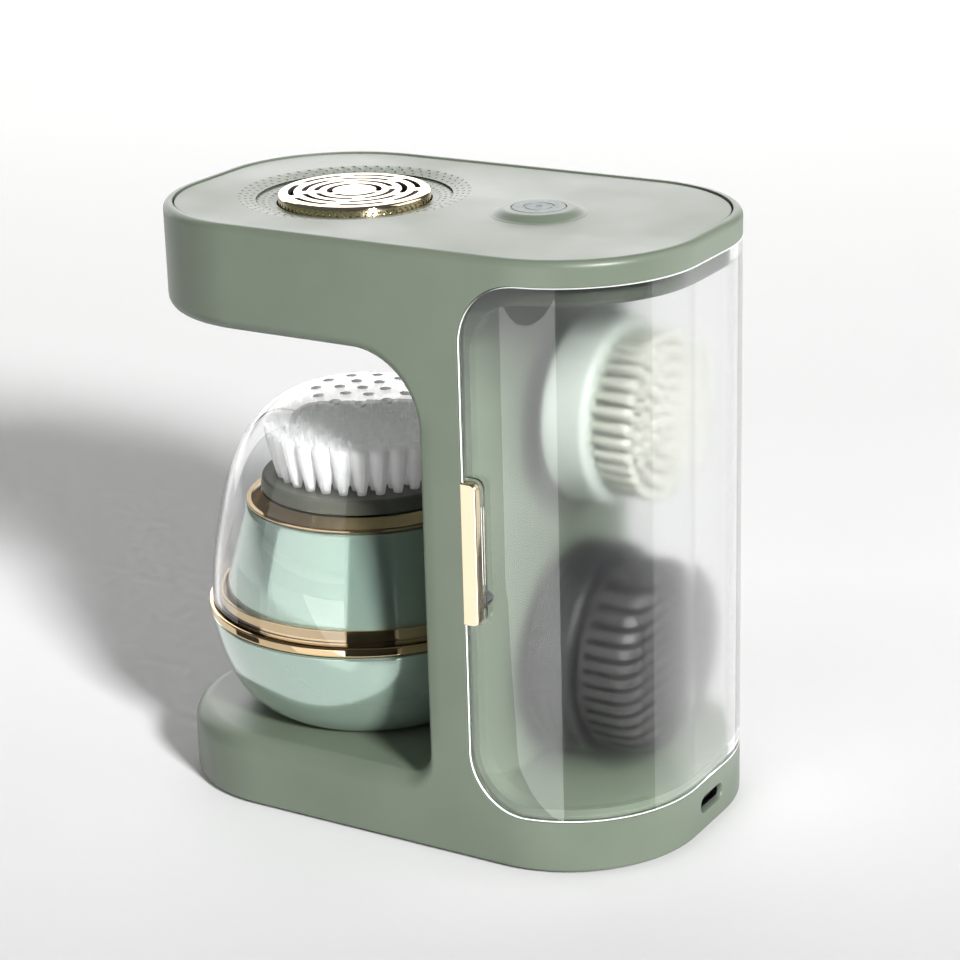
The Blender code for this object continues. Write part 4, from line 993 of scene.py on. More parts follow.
def make_top_button():
    top = BUTTON_HIGH.z
    profile = [(0, BUTTON_LOW.z), (1.5, BUTTON_LOW.z), (1.5, top - 2.1), (BUTTON_RADIUS, top - 2.1)]
    profile += high_edge(BUTTON_RADIUS, top, 0.3, 4)
    groove = [(3.45, top), (3.4, top - 0.12), (3.0, top - 0.12), (2.95, top)]
    spot = [(0.75, top), (0.7, top - 0.12), (0, top - 0.12)]
    lathed("top_button", profile + groove + spot, 64, button_lens, 30.0, (BUTTON_X, 0, 0))


# ---- door and handle ----

HANDLE_LOW, HANDLE_HIGH = box_mm("door_handle")
HANDLE_CORNER = 1.6
BOSS_MARGIN = 0.45
BOSS_HEIGHT = 0.9
DOOR_EDGE = 0.55
# The handle's tongue, which passes through the door.
TONGUE_X = (27.4, 29.4)
TONGUE_Z = (67.0, 84.0)


def tongue_ranges(grow, y_range):
    x_range, z_range = ((low - grow, high + grow) for low, high in (TONGUE_X, TONGUE_Z))
    return x_range, y_range, z_range


def make_door():
    door = door_blank(DOOR_LOW.x, HINGE_X + 0.4, 0.0, DOOR_THICKNESS, GAP)
    door.name = "door_panel_fine"
    soften(door, DOOR_EDGE, 4)
    knuckle = moved(rod_shape(KNUCKLE_RADIUS, DOOR_LOW.z, DOOR_HIGH.z, 40), (HINGE_X, HINGE_Y, 0))
    join(door, knuckle)
    pin_bore = (PIN_HIGH.x - PIN_LOW.x) / 2 + GAP
    engaged = PIN_HIGH.z - DOOR_BOTTOM + 2 * GAP
    low = rod_shape(pin_bore, DOOR_LOW.z - 2, DOOR_BOTTOM + engaged, 24)
    high = rod_shape(pin_bore, DOOR_TOP - engaged, DOOR_HIGH.z + 2, 24)
    tongue_slot = box_shape(*tongue_ranges(GAP, (-THROUGH, -33.0)))
    magnet_low, magnet_high = box_mm("door_magnet")
    middle = ((magnet_low.x + magnet_high.x) / 2, 0, (magnet_low.z + magnet_high.z) / 2)
    pocket_radius = (magnet_high.x - magnet_low.x) / 2 + GAP
    pocket = rod_shape(pocket_radius, magnet_low.y - GAP, magnet_high.y + 2, 24)
    pocket = moved(pocket, middle, (-QUARTER, 0, 0))
    cut(door, moved(grouped([low, high]), (HINGE_X, HINGE_Y, 0)), tongue_slot, pocket)
    stand_for(door, "door_panel", door_clear)
    paint_faces(door, door_frosted, faces_compartment)
    # The door's outer edges get the painted glow.
    paint_faces(door, door_edge_glow, on_outer_edge)
    # The door's side walls carry a painted glowing line and painted shade.
    paint_faces(door, door_side, on_side_wall)


def corner_vector(middle):
    """From the line that the dock's round corners turn about, out to a place."""
    past_x = max(middle.x - (HALF_LENGTH - CORNER_RADIUS), 0.0)
    past_y = max(abs(middle.y) - (HALF_WIDTH - CORNER_RADIUS), 0.0)
    return Vector((past_x, math.copysign(past_y, middle.y), 0.0))


def faces_compartment(middle, normal):
    away = corner_vector(middle).length
    return abs(away - (CORNER_RADIUS - DOOR_THICKNESS)) < 0.25 and abs(normal.z) < 0.3


def on_outer_edge(middle, normal):
    toward = corner_vector(middle)
    if faces_compartment(middle, normal) or toward.length <= CORNER_RADIUS - DOOR_EDGE - 0.05:
        return False
    return 0.1 < normal.dot(toward.normalized()) < 0.97


def on_side_wall(middle, normal):
    toward = corner_vector(middle)
    if faces_compartment(middle, normal) or toward.length <= CORNER_RADIUS - DOOR_THICKNESS + 0.2:
        return False
    return abs(normal.dot(toward.normalized())) < 0.1


def handle_outline(grow):
    """The handle's front view, square at its left edge and round at its right corners."""
    x0, x1 = HANDLE_LOW.x - 0.4 * grow, HANDLE_HIGH.x + grow
    z0, z1 = HANDLE_LOW.z - grow, HANDLE_HIGH.z + grow
    soft = HANDLE_CORNER + grow
    outline = [(x0, z0)]
    outline += fillet_points((x1 - soft, z0 + soft), soft, -QUARTER, 0, 10)
    outline += fillet_points((x1 - soft, z1 - soft), soft, 0, QUARTER, 10)
    return outline + [(x0, z1)]


def make_handle():
    front = HANDLE_LOW.y
    face = -HALF_WIDTH
    handle = new_object("door_handle_fine", along_y(handle_outline(0.0), front, face - BOSS_HEIGHT))
    soften(handle, 0.35, 3)
    join(handle, box_shape(*tongue_ranges(0.0, (face - BOSS_HEIGHT - 0.5, face + DOOR_THICKNESS))))
    stand_for(handle, "door_handle", gold)
    handle.visible_shadow = False
    back, front = face - 0.02, face - BOSS_HEIGHT + 0.05
    boss = new_object("door_handle_boss", along_y(handle_outline(BOSS_MARGIN), front, back))
    cut(boss, box_shape(*tongue_ranges(0.1, (face - 3, face + 3))))
    soften(boss, 0.3, 3)
    finish_mesh(boss)
    boss.data.materials.append(door_clear)
    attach(boss, frame["nodes"]["door_handle"]["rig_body"])


# ---- brush ----

SHELL_WALL = 1.8
BRUSH_STEPS = 144
LOWER_RADIUS = (LOWER_HIGH.x - LOWER_LOW.x) / 2
LOWER_DEPTH = 25.5
BAND_RADIUS = (BAND_HIGH.x - BAND_LOW.x) / 2
UPPER_RADIUS = (UPPER_HIGH.x - UPPER_LOW.x) / 2
BAND_BORE = 31.0
UPPER_TOP_RADIUS = 28.2
RING_LIP_RADIUS = 24.6
RING_BORE = 5.5
POWER_BUTTON_RADIUS = 4.8
POWER_BUTTON_Z = 54.0
POWER_BUTTON_TILT = math.radians(14.7)
UPPER_CURVE = 1.35
DOME_RADIUS = (DOME_HIGH.x - DOME_LOW.x) / 2
DOME_HEIGHT = DOME_HIGH.z - DOME_LOW.z
DOME_WALL = 1.5
DOME_HOLE_RADIUS = 1.15
DOME_HOLE_CIRCLES = ((0.0, 1, 0.0), (5.5, 6, 0.3), (11.0, 11, 0.1))
SHAFT_BORE = 2.3
HEAD_LOW, HEAD_HIGH = box_mm("head_base")
TUFT_LOW, TUFT_HIGH = box_mm("bristles")


def make_lower_shell():
    top, bottom = LOWER_HIGH.z, LOWER_LOW.z
    last = math.asin(((top - bottom) / LOWER_DEPTH) ** (1.43 / 2))
    drop = bulge(LOWER_RADIUS, LOWER_DEPTH, 5.6, 1.43, last, 30)
    outer = [(radius, top - z) for radius, z in drop if z > 0.6]
    edge = high_edge(LOWER_RADIUS, top, 0.45, 5)
    floor = bottom + 2.0
    flat = outer[-1][0]
    outer = outer[:-1] + [(flat + 0.9, bottom + 0.7), (flat + 0.2, bottom + 0.2), (flat - 0.8, bottom)]
    inner = [(radius - SHELL_WALL, z) for radius, z in outer if z > floor + 1]
    profile = [(0, bottom)] + outer[::-1] + edge + [(LOWER_RADIUS - SHELL_WALL, top)]
    profile += inner + [(flat - 3, floor), (0, floor)]
    lathed("lower_shell", profile, BRUSH_STEPS, mint, 45.0)


def make_mid_band():
    low, high = BAND_LOW.z, BAND_HIGH.z
    profile = [(BAND_BORE, low)] + low_edge(BAND_RADIUS, low, 0.5, 5)
    profile += high_edge(BAND_RADIUS, high, 0.5, 5) + [(BAND_BORE, high)]
    lathed("mid_band", profile, BRUSH_STEPS, deep_gold, 50.0)


def upper_radius(z):
    share = (z - UPPER_LOW.z + GAP) / (UPPER_HIGH.z - UPPER_LOW.z + GAP)
    return UPPER_RADIUS - (UPPER_RADIUS - UPPER_TOP_RADIUS) * max(share, 0.0) ** UPPER_CURVE


def power_button_place():
    """The button's centre on the back of the upper shell, and the turn that faces it outwards."""
    return (BRUSH_X, upper_radius(POWER_BUTTON_Z), POWER_BUTTON_Z), (POWER_BUTTON_TILT - QUARTER, 0, 0)


def make_upper_shell():
    low, top = UPPER_LOW.z, UPPER_HIGH.z
    flange = top - SHELL_WALL
    heights = [low + (top - 0.4 - low) * index / 24 for index in range(25)]
    outer = [(upper_radius(z), z) for z in heights] + [(upper_radius(top) - 0.35, top)]
    inner = [(radius - SHELL_WALL, z) for radius, z in outer if z < flange]
    tip = upper_radius(flange) - SHELL_WALL
    profile = outer + [(20.0, top), (20.0, flange), (tip, flange)] + inner[::-1]
    shell = new_object("upper_shell_fine", lathe_shape(profile, BRUSH_STEPS), PLACE)
    place, turn = power_button_place()
    cut(shell, moved(rod_shape(POWER_BUTTON_RADIUS + GAP, -6, 6, 64), place, turn))
    stand_for(shell, "upper_shell", mint, 45.0)


def make_top_ring():
    low, high = RING_LOW.z, RING_HIGH.z
    outer, inner = (RING_HIGH.x - RING_LOW.x) / 2, RING_LIP_RADIUS
    profile = [(RING_BORE, low)]
    profile += fillet_points((outer - 0.35, low + 0.35), 0.35, -QUARTER, QUARTER * 0.6, 6)
    profile += [(outer - 1.1, low + 0.62), (inner + 0.35, high - 0.25), (inner, high), (RING_BORE, high)]
    lathed("top_ring", profile, BRUSH_STEPS, deep_gold, 30.0)


def make_dome_seat():
    low, high = box_mm("dome_seat")
    outer = (high.x - low.x) / 2
    inner = outer - 0.9
    profile = [(inner, low.z), (outer, low.z)]
    profile += high_edge(outer, high.z, 0.3, 4)
    profile += fillet_points((inner + 0.3, high.z - 0.3), 0.3, QUARTER, math.pi, 4)
    lathed("dome_seat", profile, BRUSH_STEPS, deep_gold, 50.0)


def in_dome_hole(middle, normal):
    widest = max(circle for circle, _, _ in DOME_HOLE_CIRCLES) + 2
    return from_brush_axis(middle) < widest and abs(normal.z) < 0.5


def make_dome():
    base = DOME_LOW.z
    rise = bulge(DOME_RADIUS, DOME_HEIGHT, 3.93, 1.59, QUARTER, 40)
    outer = [(radius, base + z) for radius, z in rise[:-1] if z > 0.5] + [(0, base + DOME_HEIGHT)]
    inner = inner_wall(outer, DOME_WALL)
    inner[-1] = (0, outer[-1][1] - DOME_WALL)
    inside = DOME_RADIUS - DOME_WALL
    rim = [(inside, base + 0.3), (inside + 0.3, base), (DOME_RADIUS - 0.3, base), (DOME_RADIUS, base + 0.3)]
    profile = inner[::-1] + rim + outer
    dome = new_object("dome_cover_fine", lathe_shape(profile, BRUSH_STEPS), PLACE)
    low, high = DOME_HIGH.z - 8.0, DOME_HIGH.z + 2.0
    narrow, wide = 0.75 * DOME_HOLE_RADIUS, 1.25 * DOME_HOLE_RADIUS
    hole = lathe_shape([(0, low), (narrow, low), (wide, high), (0, high)], 28)
    holes = []
    for circle, count, first in DOME_HOLE_CIRCLES:
        for index in range(count):
            turn = first + FULL * index / count
            holes.append(moved(hole, (BRUSH_X + circle * math.cos(turn), circle * math.sin(turn), 0)))
    cut(dome, grouped(holes))
    stand_for(dome, "dome_cover", clear, 40.0)
    # The hole walls get a faint painted glow.
    paint_faces(dome, hole_wall_glow, in_dome_hole)


def make_head_base():
    low, high = HEAD_LOW.z, HEAD_HIGH.z
    radius = (HEAD_HIGH.x - HEAD_LOW.x) / 2
    profile = [(SHAFT_BORE, low), (radius - 0.5, low), (radius - 0.1, low + 0.25), (radius, low + 0.7)]
    profile += [(radius - 0.25, high - 1.0)]
    profile += fillet_points((radius - 1.25, high - 1.0), 1.0, 0, QUARTER, 6)
    profile += [(0, high), (0, high - 0.6), (SHAFT_BORE, high - 0.6)]
    lathed("head_base", profile, BRUSH_STEPS, head_grey, 40.0)


def make_power_button():
    place, turn = power_button_place()
    radius = POWER_BUTTON_RADIUS
    profile = [(0, -7.0), (1.5, -7.0), (1.5, -2.6), (radius, -2.6), (radius, 0.4)]
    profile += fillet_points((radius - 0.45, 0.4), 0.45, 0, QUARTER, 4)
    profile += [(3.2, 0.85), (2.9, 0.6), (1.5, 0.45), (0, 0.4)]
    lathed("power_button", profile, 64, gold, 30.0, place, turn)


# ---- bristles ----

# Each ring of tufts: radius and number of tufts.
TUFT_RINGS = ((20.0, 30), (16.6, 25), (13.3, 20), (10.0, 15), (6.6, 10), (3.3, 5), (0.0, 1))
SPARE_TUFT_RINGS = ((17.2, 34), (14.0, 27), (10.8, 21), (7.6, 14), (4.4, 8), (1.4, 3))


def tuft_places(rings):
    """(x, y) places of tufts on rings of (radius, count)."""
    places = []
    for row, (radius, count) in enumerate(rings):
        for index in range(count):
            turn = FULL * (index + 0.5 * (row % 2)) / count
            places.append((radius * math.cos(turn), radius * math.sin(turn)))
    return places


def filament_points(root, tip, thickness, levels):
    """A tapered three-sided filament that leans out more in its lower part."""
    points = []
    for level in range(levels + 1):
        share = level / levels
        lean = 1 - (1 - share) ** 1.5
        x = root[0] + (tip[0] - root[0]) * lean
        y = root[1] + (tip[1] - root[1]) * lean
        z = root[2] + (tip[2] - root[2]) * share
        width = thickness * (1.0 - 0.45 * share)
        for side in range(3):
            turn = FULL * side / 3
            points.append((x + width * math.cos(turn), y + width * math.sin(turn), z))
    return points


def tuft_core(place, rules, high, splay):
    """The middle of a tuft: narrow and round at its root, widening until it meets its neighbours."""
    steps, levels = 12, 10
    loops = []
    for level in range(levels + 1):
        share = level / levels
        lean = 1 - (1 - share) ** 1.5
        middle_x = place[0] * (1 + (splay - 1) * lean)
        middle_y = place[1] * (1 + (splay - 1) * lean)
        root, tip = rules["root"] * rules["core"], rules["tip"] * rules["core"]
        width = root + (tip - root) * lean
        if level == levels:
            width *= 0.7
        z = rules["low"] + (high - 0.5 - rules["low"]) * share
        circle = fillet_points((middle_x, middle_y), width, 0, FULL, steps)[:-1]
        loops.append([(x, y, z) for x, y in circle])
    return loft_shape(loops)


def tuft_shape(places, rules, seed):
    """All the tufts of a head as one mesh. Each filament leans away from its tuft's middle."""
    draw = random.Random(seed)
    points, faces = [], []
    levels = rules["levels"]
    for place_x, place_y in places:
        away = math.hypot(place_x, place_y)
        splay = 1 + rules["splay"] * away / rules["reach"]
        tip_z = rules["high"] - rules["crown"] * (away / rules["reach"]) ** 2
        core_points, core_faces = tuft_core((place_x, place_y), rules, tip_z - rules["uneven"], splay)
        faces += [[corner + len(points) for corner in face] for face in core_faces]
        points += core_points
        for _ in range(rules["filaments"]):
            turn = draw.uniform(0, FULL)
            off = math.sqrt(draw.uniform(rules["hollow"], 1.0))
            off_x, off_y = off * math.cos(turn), off * math.sin(turn)
            root = (place_x + rules["root"] * off_x, place_y + rules["root"] * off_y, rules["low"])
            high = tip_z - draw.uniform(0, rules["uneven"])
            spread = rules["tip"] * draw.uniform(0.94, 1.06)
            tip = (place_x * splay + spread * off_x, place_y * splay + spread * off_y, high)
            start = len(points)
            points += filament_points(root, tip, rules["thickness"], levels)
            faces.append([start + 2, start + 1, start])
            for level in range(levels):
                ring = start + 3 * level
                for side in range(3):
                    after = (side + 1) % 3
                    faces.append([ring + side, ring + after, ring + 3 + after, ring + 3 + side])
            end = start + 3 * levels
            faces.append([end, end + 1, end + 2])
    return points, faces


def make_bristles():
    rules = {
        "filaments": 36, "levels": 5, "root": 0.95, "tip": 2.75, "splay": 0.025, "reach": 20.0,
        "low": TUFT_LOW.z - 0.25, "high": TUFT_HIGH.z, "crown": 2.0, "uneven": 0.9, "thickness": 0.12,
        "core": 0.97, "hollow": 0.55,
    }
    tufts = new_object("bristle_tufts", tuft_shape(tuft_places(TUFT_RINGS), rules, 11), PLACE)
    stand_for(tufts, "bristles", white_filament, 180.0)


# ---- spare heads ----

POST_BORE = 3.3
POST_BORE_DEPTH = 7.2


def make_spare_base(name, look, groove_count):
    low, high = box_mm(name)
    radius = (high.y - low.y) / 2
    length = high.x - low.x
    middle_z = (low.z + high.z) / 2
    profile = [(POST_BORE, 0), (radius - 1.0, 0)]
    profile += fillet_points((radius - 1.0, 1.0), 1.0, -QUARTER, 0, 5)
    for index in range(groove_count):
        z = 2.0 + index * (length - 4.0) / groove_count
        profile += [(radius, z), (radius - 0.35, z + 0.25), (radius, z + 0.5)]
    profile += high_edge(radius, length, 1.5, 6)
    profile += [(0, length), (0, POST_BORE_DEPTH), (POST_BORE, POST_BORE_DEPTH)]
    lathed(name, profile, 112, look, 35.0, (low.x, 0, middle_z), (0, QUARTER, 0))


def make_spare_tufts(name, rules, look, seed):
    low, high = box_mm(name)
    place = (low.x, 0, (low.z + high.z) / 2)
    rules = dict(rules, low=-0.5, high=high.x - low.x)
    shape = tuft_shape(tuft_places(SPARE_TUFT_RINGS), rules, seed)
    stand_for(new_object(name + "_fine", shape, place, (0, QUARTER, 0)), name, look, 180.0)


BLADE_PITCH = 3.2
BLADE_SLOT = 1.35
BLADE_ROOT = 2.2
UPRIGHT_PITCH = 7.5
UPRIGHT_SLOT = 0.8


def make_blade_pad(name):
    """A soft silicone pad cut into level blades, crossed by a few upright slots."""
    low, high = box_mm(name)
    radius, length = (high.y - low.y) / 2, high.x - low.x
    profile = [(0, 0), (radius - 1.2, 0), (radius - 0.3, 1.0), (radius, length - 4.5)]
    profile += fillet_points((radius - 4.0, length - 4.2), 4.0, 0, QUARTER, 8)
    profile += [(0, length)]
    place = (low.x, 0, (low.z + high.z) / 2)
    pad = new_object(name + "_fine", lathe_shape(profile, 112), place, (0, QUARTER, 0))
    count = int(radius / BLADE_PITCH)
    middles = [place[2] + index * BLADE_PITCH for index in range(-count, count + 1)]
    slots = [(middle - BLADE_SLOT / 2, middle + BLADE_SLOT / 2) for middle in middles]
    x_range, y_range = (low.x + BLADE_ROOT, high.x + 1), (-radius - 1, radius + 1)
    level_slots = [box_shape(x_range, y_range, slot) for slot in slots]
    middles = [index * UPRIGHT_PITCH for index in range(-2, 3)]
    slots = [(middle - UPRIGHT_SLOT / 2, middle + UPRIGHT_SLOT / 2) for middle in middles]
    x_range, z_range = (low.x + 2 * BLADE_ROOT, high.x + 1), (low.z - 1, high.z + 1)
    upright_slots = [box_shape(x_range, slot, z_range) for slot in slots]
    cut(pad, grouped(level_slots), grouped(upright_slots))
    soften(pad, 0.2, 2)
    stand_for(pad, name, charcoal_filament)


def make_spare_heads():
    rules = {
        "filaments": 14, "levels": 3, "root": 0.85, "tip": 1.35, "splay": 0.02, "reach": 18.0,
        "crown": 1.6, "uneven": 0.6, "thickness": 0.2, "core": 0.9, "hollow": 0.4,
    }
    make_spare_base("spare_head_upper_base", pale_mint, 0)
    make_spare_tufts("spare_head_upper_bristles", rules, cream_filament, 12)
    make_spare_base("spare_head_lower_base", charcoal, 2)
    make_blade_pad("spare_head_lower_bristles")


# ---- USB socket, feet, screws and grille ----

def make_usb_socket():
    low, high = box_mm("usb_socket")
    middle_z = (low.z + high.z) / 2
    half_width, half_height = (high.y - low.y) / 2, (high.z - low.z) / 2

    def ring(x, inset):
        outline = stadium(half_width - inset, half_height - inset, 14)
        return [(x, y, middle_z + z) for y, z in outline]

    front = high.x
    sleeve = [ring(low.x, 0.0), ring(front - 0.2, 0.0), ring(front - 0.05, 0.06), ring(front, 0.2)]
    sleeve += [ring(front - 0.05, 0.34), ring(front - 0.2, 0.4), ring(front - 7.0, 0.4)]
    socket = new_object("usb_socket_fine", loft_shape(sleeve))
    tongue = box_shape((front - 8.0, front - 1.0), (-3.2, 3.2), (middle_z - 0.35, middle_z + 0.35))
    join(socket, tongue)
    stand_for(socket, "usb_socket", blackened)


def make_foot(name, groove_radii):
    low, high = box_mm(name)
    radius = (high.x - low.x) / 2
    profile = [(0, low.z)]
    for groove in groove_radii:
        profile += [(groove - 0.3, low.z), (groove - 0.15, low.z + 0.3)]
        profile += [(groove + 0.15, low.z + 0.3), (groove + 0.3, low.z)]
    profile += low_edge(radius, low.z, 0.45, 5)
    profile += [(radius, high.z), (0, high.z)]
    place = ((low.x + high.x) / 2, (low.y + high.y) / 2, 0)
    lathed(name, profile, 72, black_rubber, 35.0, place)


THREAD_PITCH = 0.7


def make_screw(name):
    low, high = box_mm(name)
    head, core = (high.x - low.x) / 2, 1.05
    bottom, top = low.z, high.z
    profile = [(0, bottom)]
    profile += low_edge(head, bottom, 0.35, 4)
    profile += [(head, bottom + 1.1), (core, bottom + 1.1)]
    turns = int((top - bottom - 2.0) / THREAD_PITCH)
    for index in range(turns):
        z = bottom + 1.3 + THREAD_PITCH * index
        profile += [(core, z), (core + 0.15, z + 0.3), (core, z + 0.6)]
    profile += [(core, top - 0.4), (core - 0.5, top), (0, top)]
    place = ((low.x + high.x) / 2, (low.y + high.y) / 2, 0)
    screw = new_object(name + "_fine", lathe_shape(profile, 40), place)
    blade = box_shape((-1.4, 1.4), (-0.3, 0.3), (bottom - 1, bottom + 0.8))
    cut(screw, moved(blade, place), moved(blade, place, (0, 0, QUARTER)))
    stand_for(screw, name, steel)


# Each ring of slots: radius and number of slots.
GRILLE_RINGS = ((4.2, 6), (7.2, 9), (10.2, 12), (13.2, 15))
GRILLE_SLOT = 1.5
GRILLE_OPEN_SHARE = 0.55


def make_outlet_grille():
    low, high = box_mm("air_outlet_grille")
    radius = (high.x - low.x) / 2
    profile = [(0, low.z), (radius - 0.5, low.z), (radius, low.z + 0.5), (radius, high.z), (0, high.z)]
    grille = new_object("air_outlet_grille_fine", lathe_shape(profile, 120), PLACE)
    slots = []
    for ring_radius, count in GRILLE_RINGS:
        for index in range(count):
            start = FULL * (index + 0.15) / count
            end = start + FULL * GRILLE_OPEN_SHARE / count
            slots.append(arc_slot_shape(ring_radius, GRILLE_SLOT, start, end, low.z - 1, high.z + 1, 8))
    cut(grille, moved(grouped(slots), PLACE))
    soften(grille, 0.15, 2)
    stand_for(grille, "air_outlet_grille", sage)


# ---- camera, light and floor ----

CAMERA_AZIMUTH = math.radians(30.86)
CAMERA_ELEVATION = math.radians(19.36)
CAMERA_ROLL = math.radians(-1.563)
CAMERA_DISTANCE = 0.6163
CAMERA_TARGET = Vector((0.00627, 0.0, 0.07444))
CAMERA_LENS = 101.23


def make_camera():
    back = Vector((
        math.sin(CAMERA_AZIMUTH) * math.cos(CAMERA_ELEVATION),
        -math.cos(CAMERA_AZIMUTH) * math.cos(CAMERA_ELEVATION),
        math.sin(CAMERA_ELEVATION),
    ))
    level = Vector((math.cos(CAMERA_AZIMUTH), math.sin(CAMERA_AZIMUTH), 0.0))
    raised = back.cross(level)
    right = level * math.cos(CAMERA_ROLL) + raised * math.sin(CAMERA_ROLL)
    up = raised * math.cos(CAMERA_ROLL) - level * math.sin(CAMERA_ROLL)
    lens = bpy.data.cameras.new("camera")
    lens.lens = CAMERA_LENS
    lens.sensor_width = 36.0
    lens.clip_start = 0.01
    camera = bpy.data.objects.new("camera", lens)
    turn = Matrix((right, up, back)).transposed().to_4x4()
    camera.matrix_world = Matrix.Translation(CAMERA_TARGET + back * CAMERA_DISTANCE) @ turn
    bpy.context.scene.collection.objects.link(camera)
    bpy.context.scene.camera = camera


def make_area_light(name, place, aim, size, power, color=(1, 1, 1)):
    lamp = bpy.data.lights.new(name, "AREA")
    lamp.shape = "RECTANGLE"
    lamp.size, lamp.size_y = size
    lamp.energy = power
    lamp.color = color
    light = bpy.data.objects.new(name, lamp)
    light.location = place
    light.rotation_euler = (Vector(aim) - Vector(place)).to_track_quat("-Z", "Y").to_euler()
    bpy.context.scene.collection.objects.link(light)
    return light


def direction(azimuth, elevation):
    """A unit vector: azimuth 0 is the front (-Y) and 90 degrees the door end (+X)."""
    turn, rise = math.radians(azimuth), math.radians(elevation)
    return Vector((math.sin(turn) * math.cos(rise), -math.cos(turn) * math.cos(rise), math.sin(rise)))


def polar(start, azimuth, distance):
    """A floor place in metres, from a start in millimetres."""
    turn = math.radians(azimuth)
    return (start[0] * MM + distance * math.sin(turn), start[1] * MM - distance * math.cos(turn))


def make_card(name, corners, look, through=False):
    """A studio card that faces the product and is seen only as a reflection."""
    middle = sum((Vector(corner) for corner in corners), Vector()) / len(corners)
    facing = (Vector(corners[1]) - Vector(corners[0])).cross(Vector(corners[2]) - Vector(corners[1]))
    if facing.dot(STUDIO_MIDDLE - middle) < 0:
        corners = corners[::-1]
    mesh = bpy.data.meshes.new(name)
    mesh.from_pydata(corners, [], [tuple(range(len(corners)))])
    mesh.materials.append(look)
    card = bpy.data.objects.new(name, mesh)
    card.visible_camera = False
    card.visible_diffuse = False
    card.visible_transmission = through
    card.visible_shadow = False
    bpy.context.scene.collection.objects.link(card)


def open_from_behind(look):
    """Light passes through a card from its back, so that it leaves no mark on the floor."""
    tree = look.node_tree
    behind = node(tree, "NewGeometry").outputs["Backfacing"]
    clear_way = node(tree, "BsdfTransparent").outputs[0]
    shader = tree.nodes["Principled BSDF"].outputs[0]
    mixed = node(tree, "MixShader", {0: behind, 1: shader, 2: clear_way}).outputs[0]
    tree.links.new(mixed, tree.nodes["Material Output"].inputs["Surface"])
    return look


def glowing_card(name, strength):
    """A white card under soft light, very slightly uneven."""
    look, tree, shader, place = new_look(name)
    cloud = noise(tree, place, 3.0, 2.0)
    feed(tree, shader, Base_Color=(0.0, 0.0, 0.0, 1.0), Roughness=1.0, Specular_IOR_Level=0.0)
    feed(tree, shader, Emission_Color=blended(tree, cloud, (0.93, 0.93, 0.92), (1.0, 1.0, 1.0)))
    feed(tree, shader, Emission_Strength=strength)
    return open_from_behind(look)


def on_floor(outline):
    return [(x, y, CARD_RISE) for x, y in outline]


def make_wall(name, azimuths, reach, height, look, through=False):
    """Upright panels round the studio's middle."""
    foot = [polar((0, 0), azimuth, reach) for azimuth in azimuths]
    for index, (start, end) in enumerate(zip(foot, foot[1:])):
        corners = [(*start, 0.0), (*end, 0.0), (*end, height), (*start, height)]
        make_card("%s_%d" % (name, index), corners, look, through)


# Where the door turns the eye to each end of the dark half of the studio, and the azimuths it is seen at.
DARK_START = (47.2, -36.1)
DARK_START_AZIMUTH = 20.7
DARK_END = (62.1, -21.0)
DARK_END_AZIMUTH = 99.3
CARD_RISE = 0.0005
# How far the front card reaches, in metres: into the door's mirror image and short of the dome's.
FRONT_REACH = 0.47
# Where the brush's gold band stands beside the bay, in millimetres.
BAND_SIDE = (-36.0, -36.0)
# The corners of a card in front of the bay, in metres.
BAY_CARD = ((-0.004, -0.058, 0.025), (0.016, -0.0415, 0.025), (0.016, -0.0415, 0.1), (-0.004, -0.058, 0.1))
STUDIO_MIDDLE = Vector((0.0, 0.0, 0.06))


def make_cards():
    """Dark cloth to the front right, where the key light stands, and white card on both sides of it."""
    cloth = moulded_plastic("dark_card_cloth", (0.016, 0.017, 0.016), 0.9, 300.0, 0.05, 0.2)
    open_from_behind(cloth)
    first = [polar(DARK_START, DARK_START_AZIMUTH, reach) for reach in (0.025, 1.5)]
    last = [polar(DARK_END, DARK_END_AZIMUTH, reach) for reach in (1.5, 0.025)]
    make_card("dark_floor_card", on_floor(first + [polar(DARK_START, 60.0, 1.9)] + last), cloth, True)
    make_wall("dark_wall_card", (17.0, 45.0, 72.0, 98.0), 0.85, 0.36, cloth, True)
    make_card("dark_bay_card", BAY_CARD, cloth, True)
    corners = ((-80, 0.085), (-80, 0.3), (-52, 0.3), (-52, 0.085))
    side = [polar(BAND_SIDE, azimuth, reach) for azimuth, reach in corners]
    make_card("dark_side_card", on_floor(side), cloth)
    right_glow = glowing_card("right_card_glow", 1.8)
    corners = ((140.0, 1.9), (175.0, 1.5), (175.0, 0.06))
    right = last[::-1] + [polar(DARK_END, azimuth, reach) for azimuth, reach in corners]
    make_card("right_floor_card", on_floor(right), right_glow)
    make_wall("right_wall_card", (99.0, 125.0, 150.0), 0.95, 1.1, right_glow)
    front = [polar(DARK_START, DARK_START_AZIMUTH, reach) for reach in (FRONT_REACH, 0.025)]
    front += [polar(DARK_START, -24.0, 0.06), polar(DARK_START, -24.0, FRONT_REACH)]
    make_card("front_floor_card", on_floor(front), glowing_card("front_card_glow", 4.2))
    handle_side = front[2:] + [polar(DARK_START, -50.0, FRONT_REACH), polar(DARK_START, -50.0, 0.06)]
    make_card("handle_floor_card", on_floor(handle_side), glowing_card("handle_card_glow", 1.25))
    make_wall("left_wall_card", (-96.0, -120.0), 0.9, 0.9, glowing_card("left_card_glow", 2.4))
    make_wall("back_wall_card", (183.0, 210.0, 237.0), 1.5, 1.3, glowing_card("back_card_glow", 3.1))


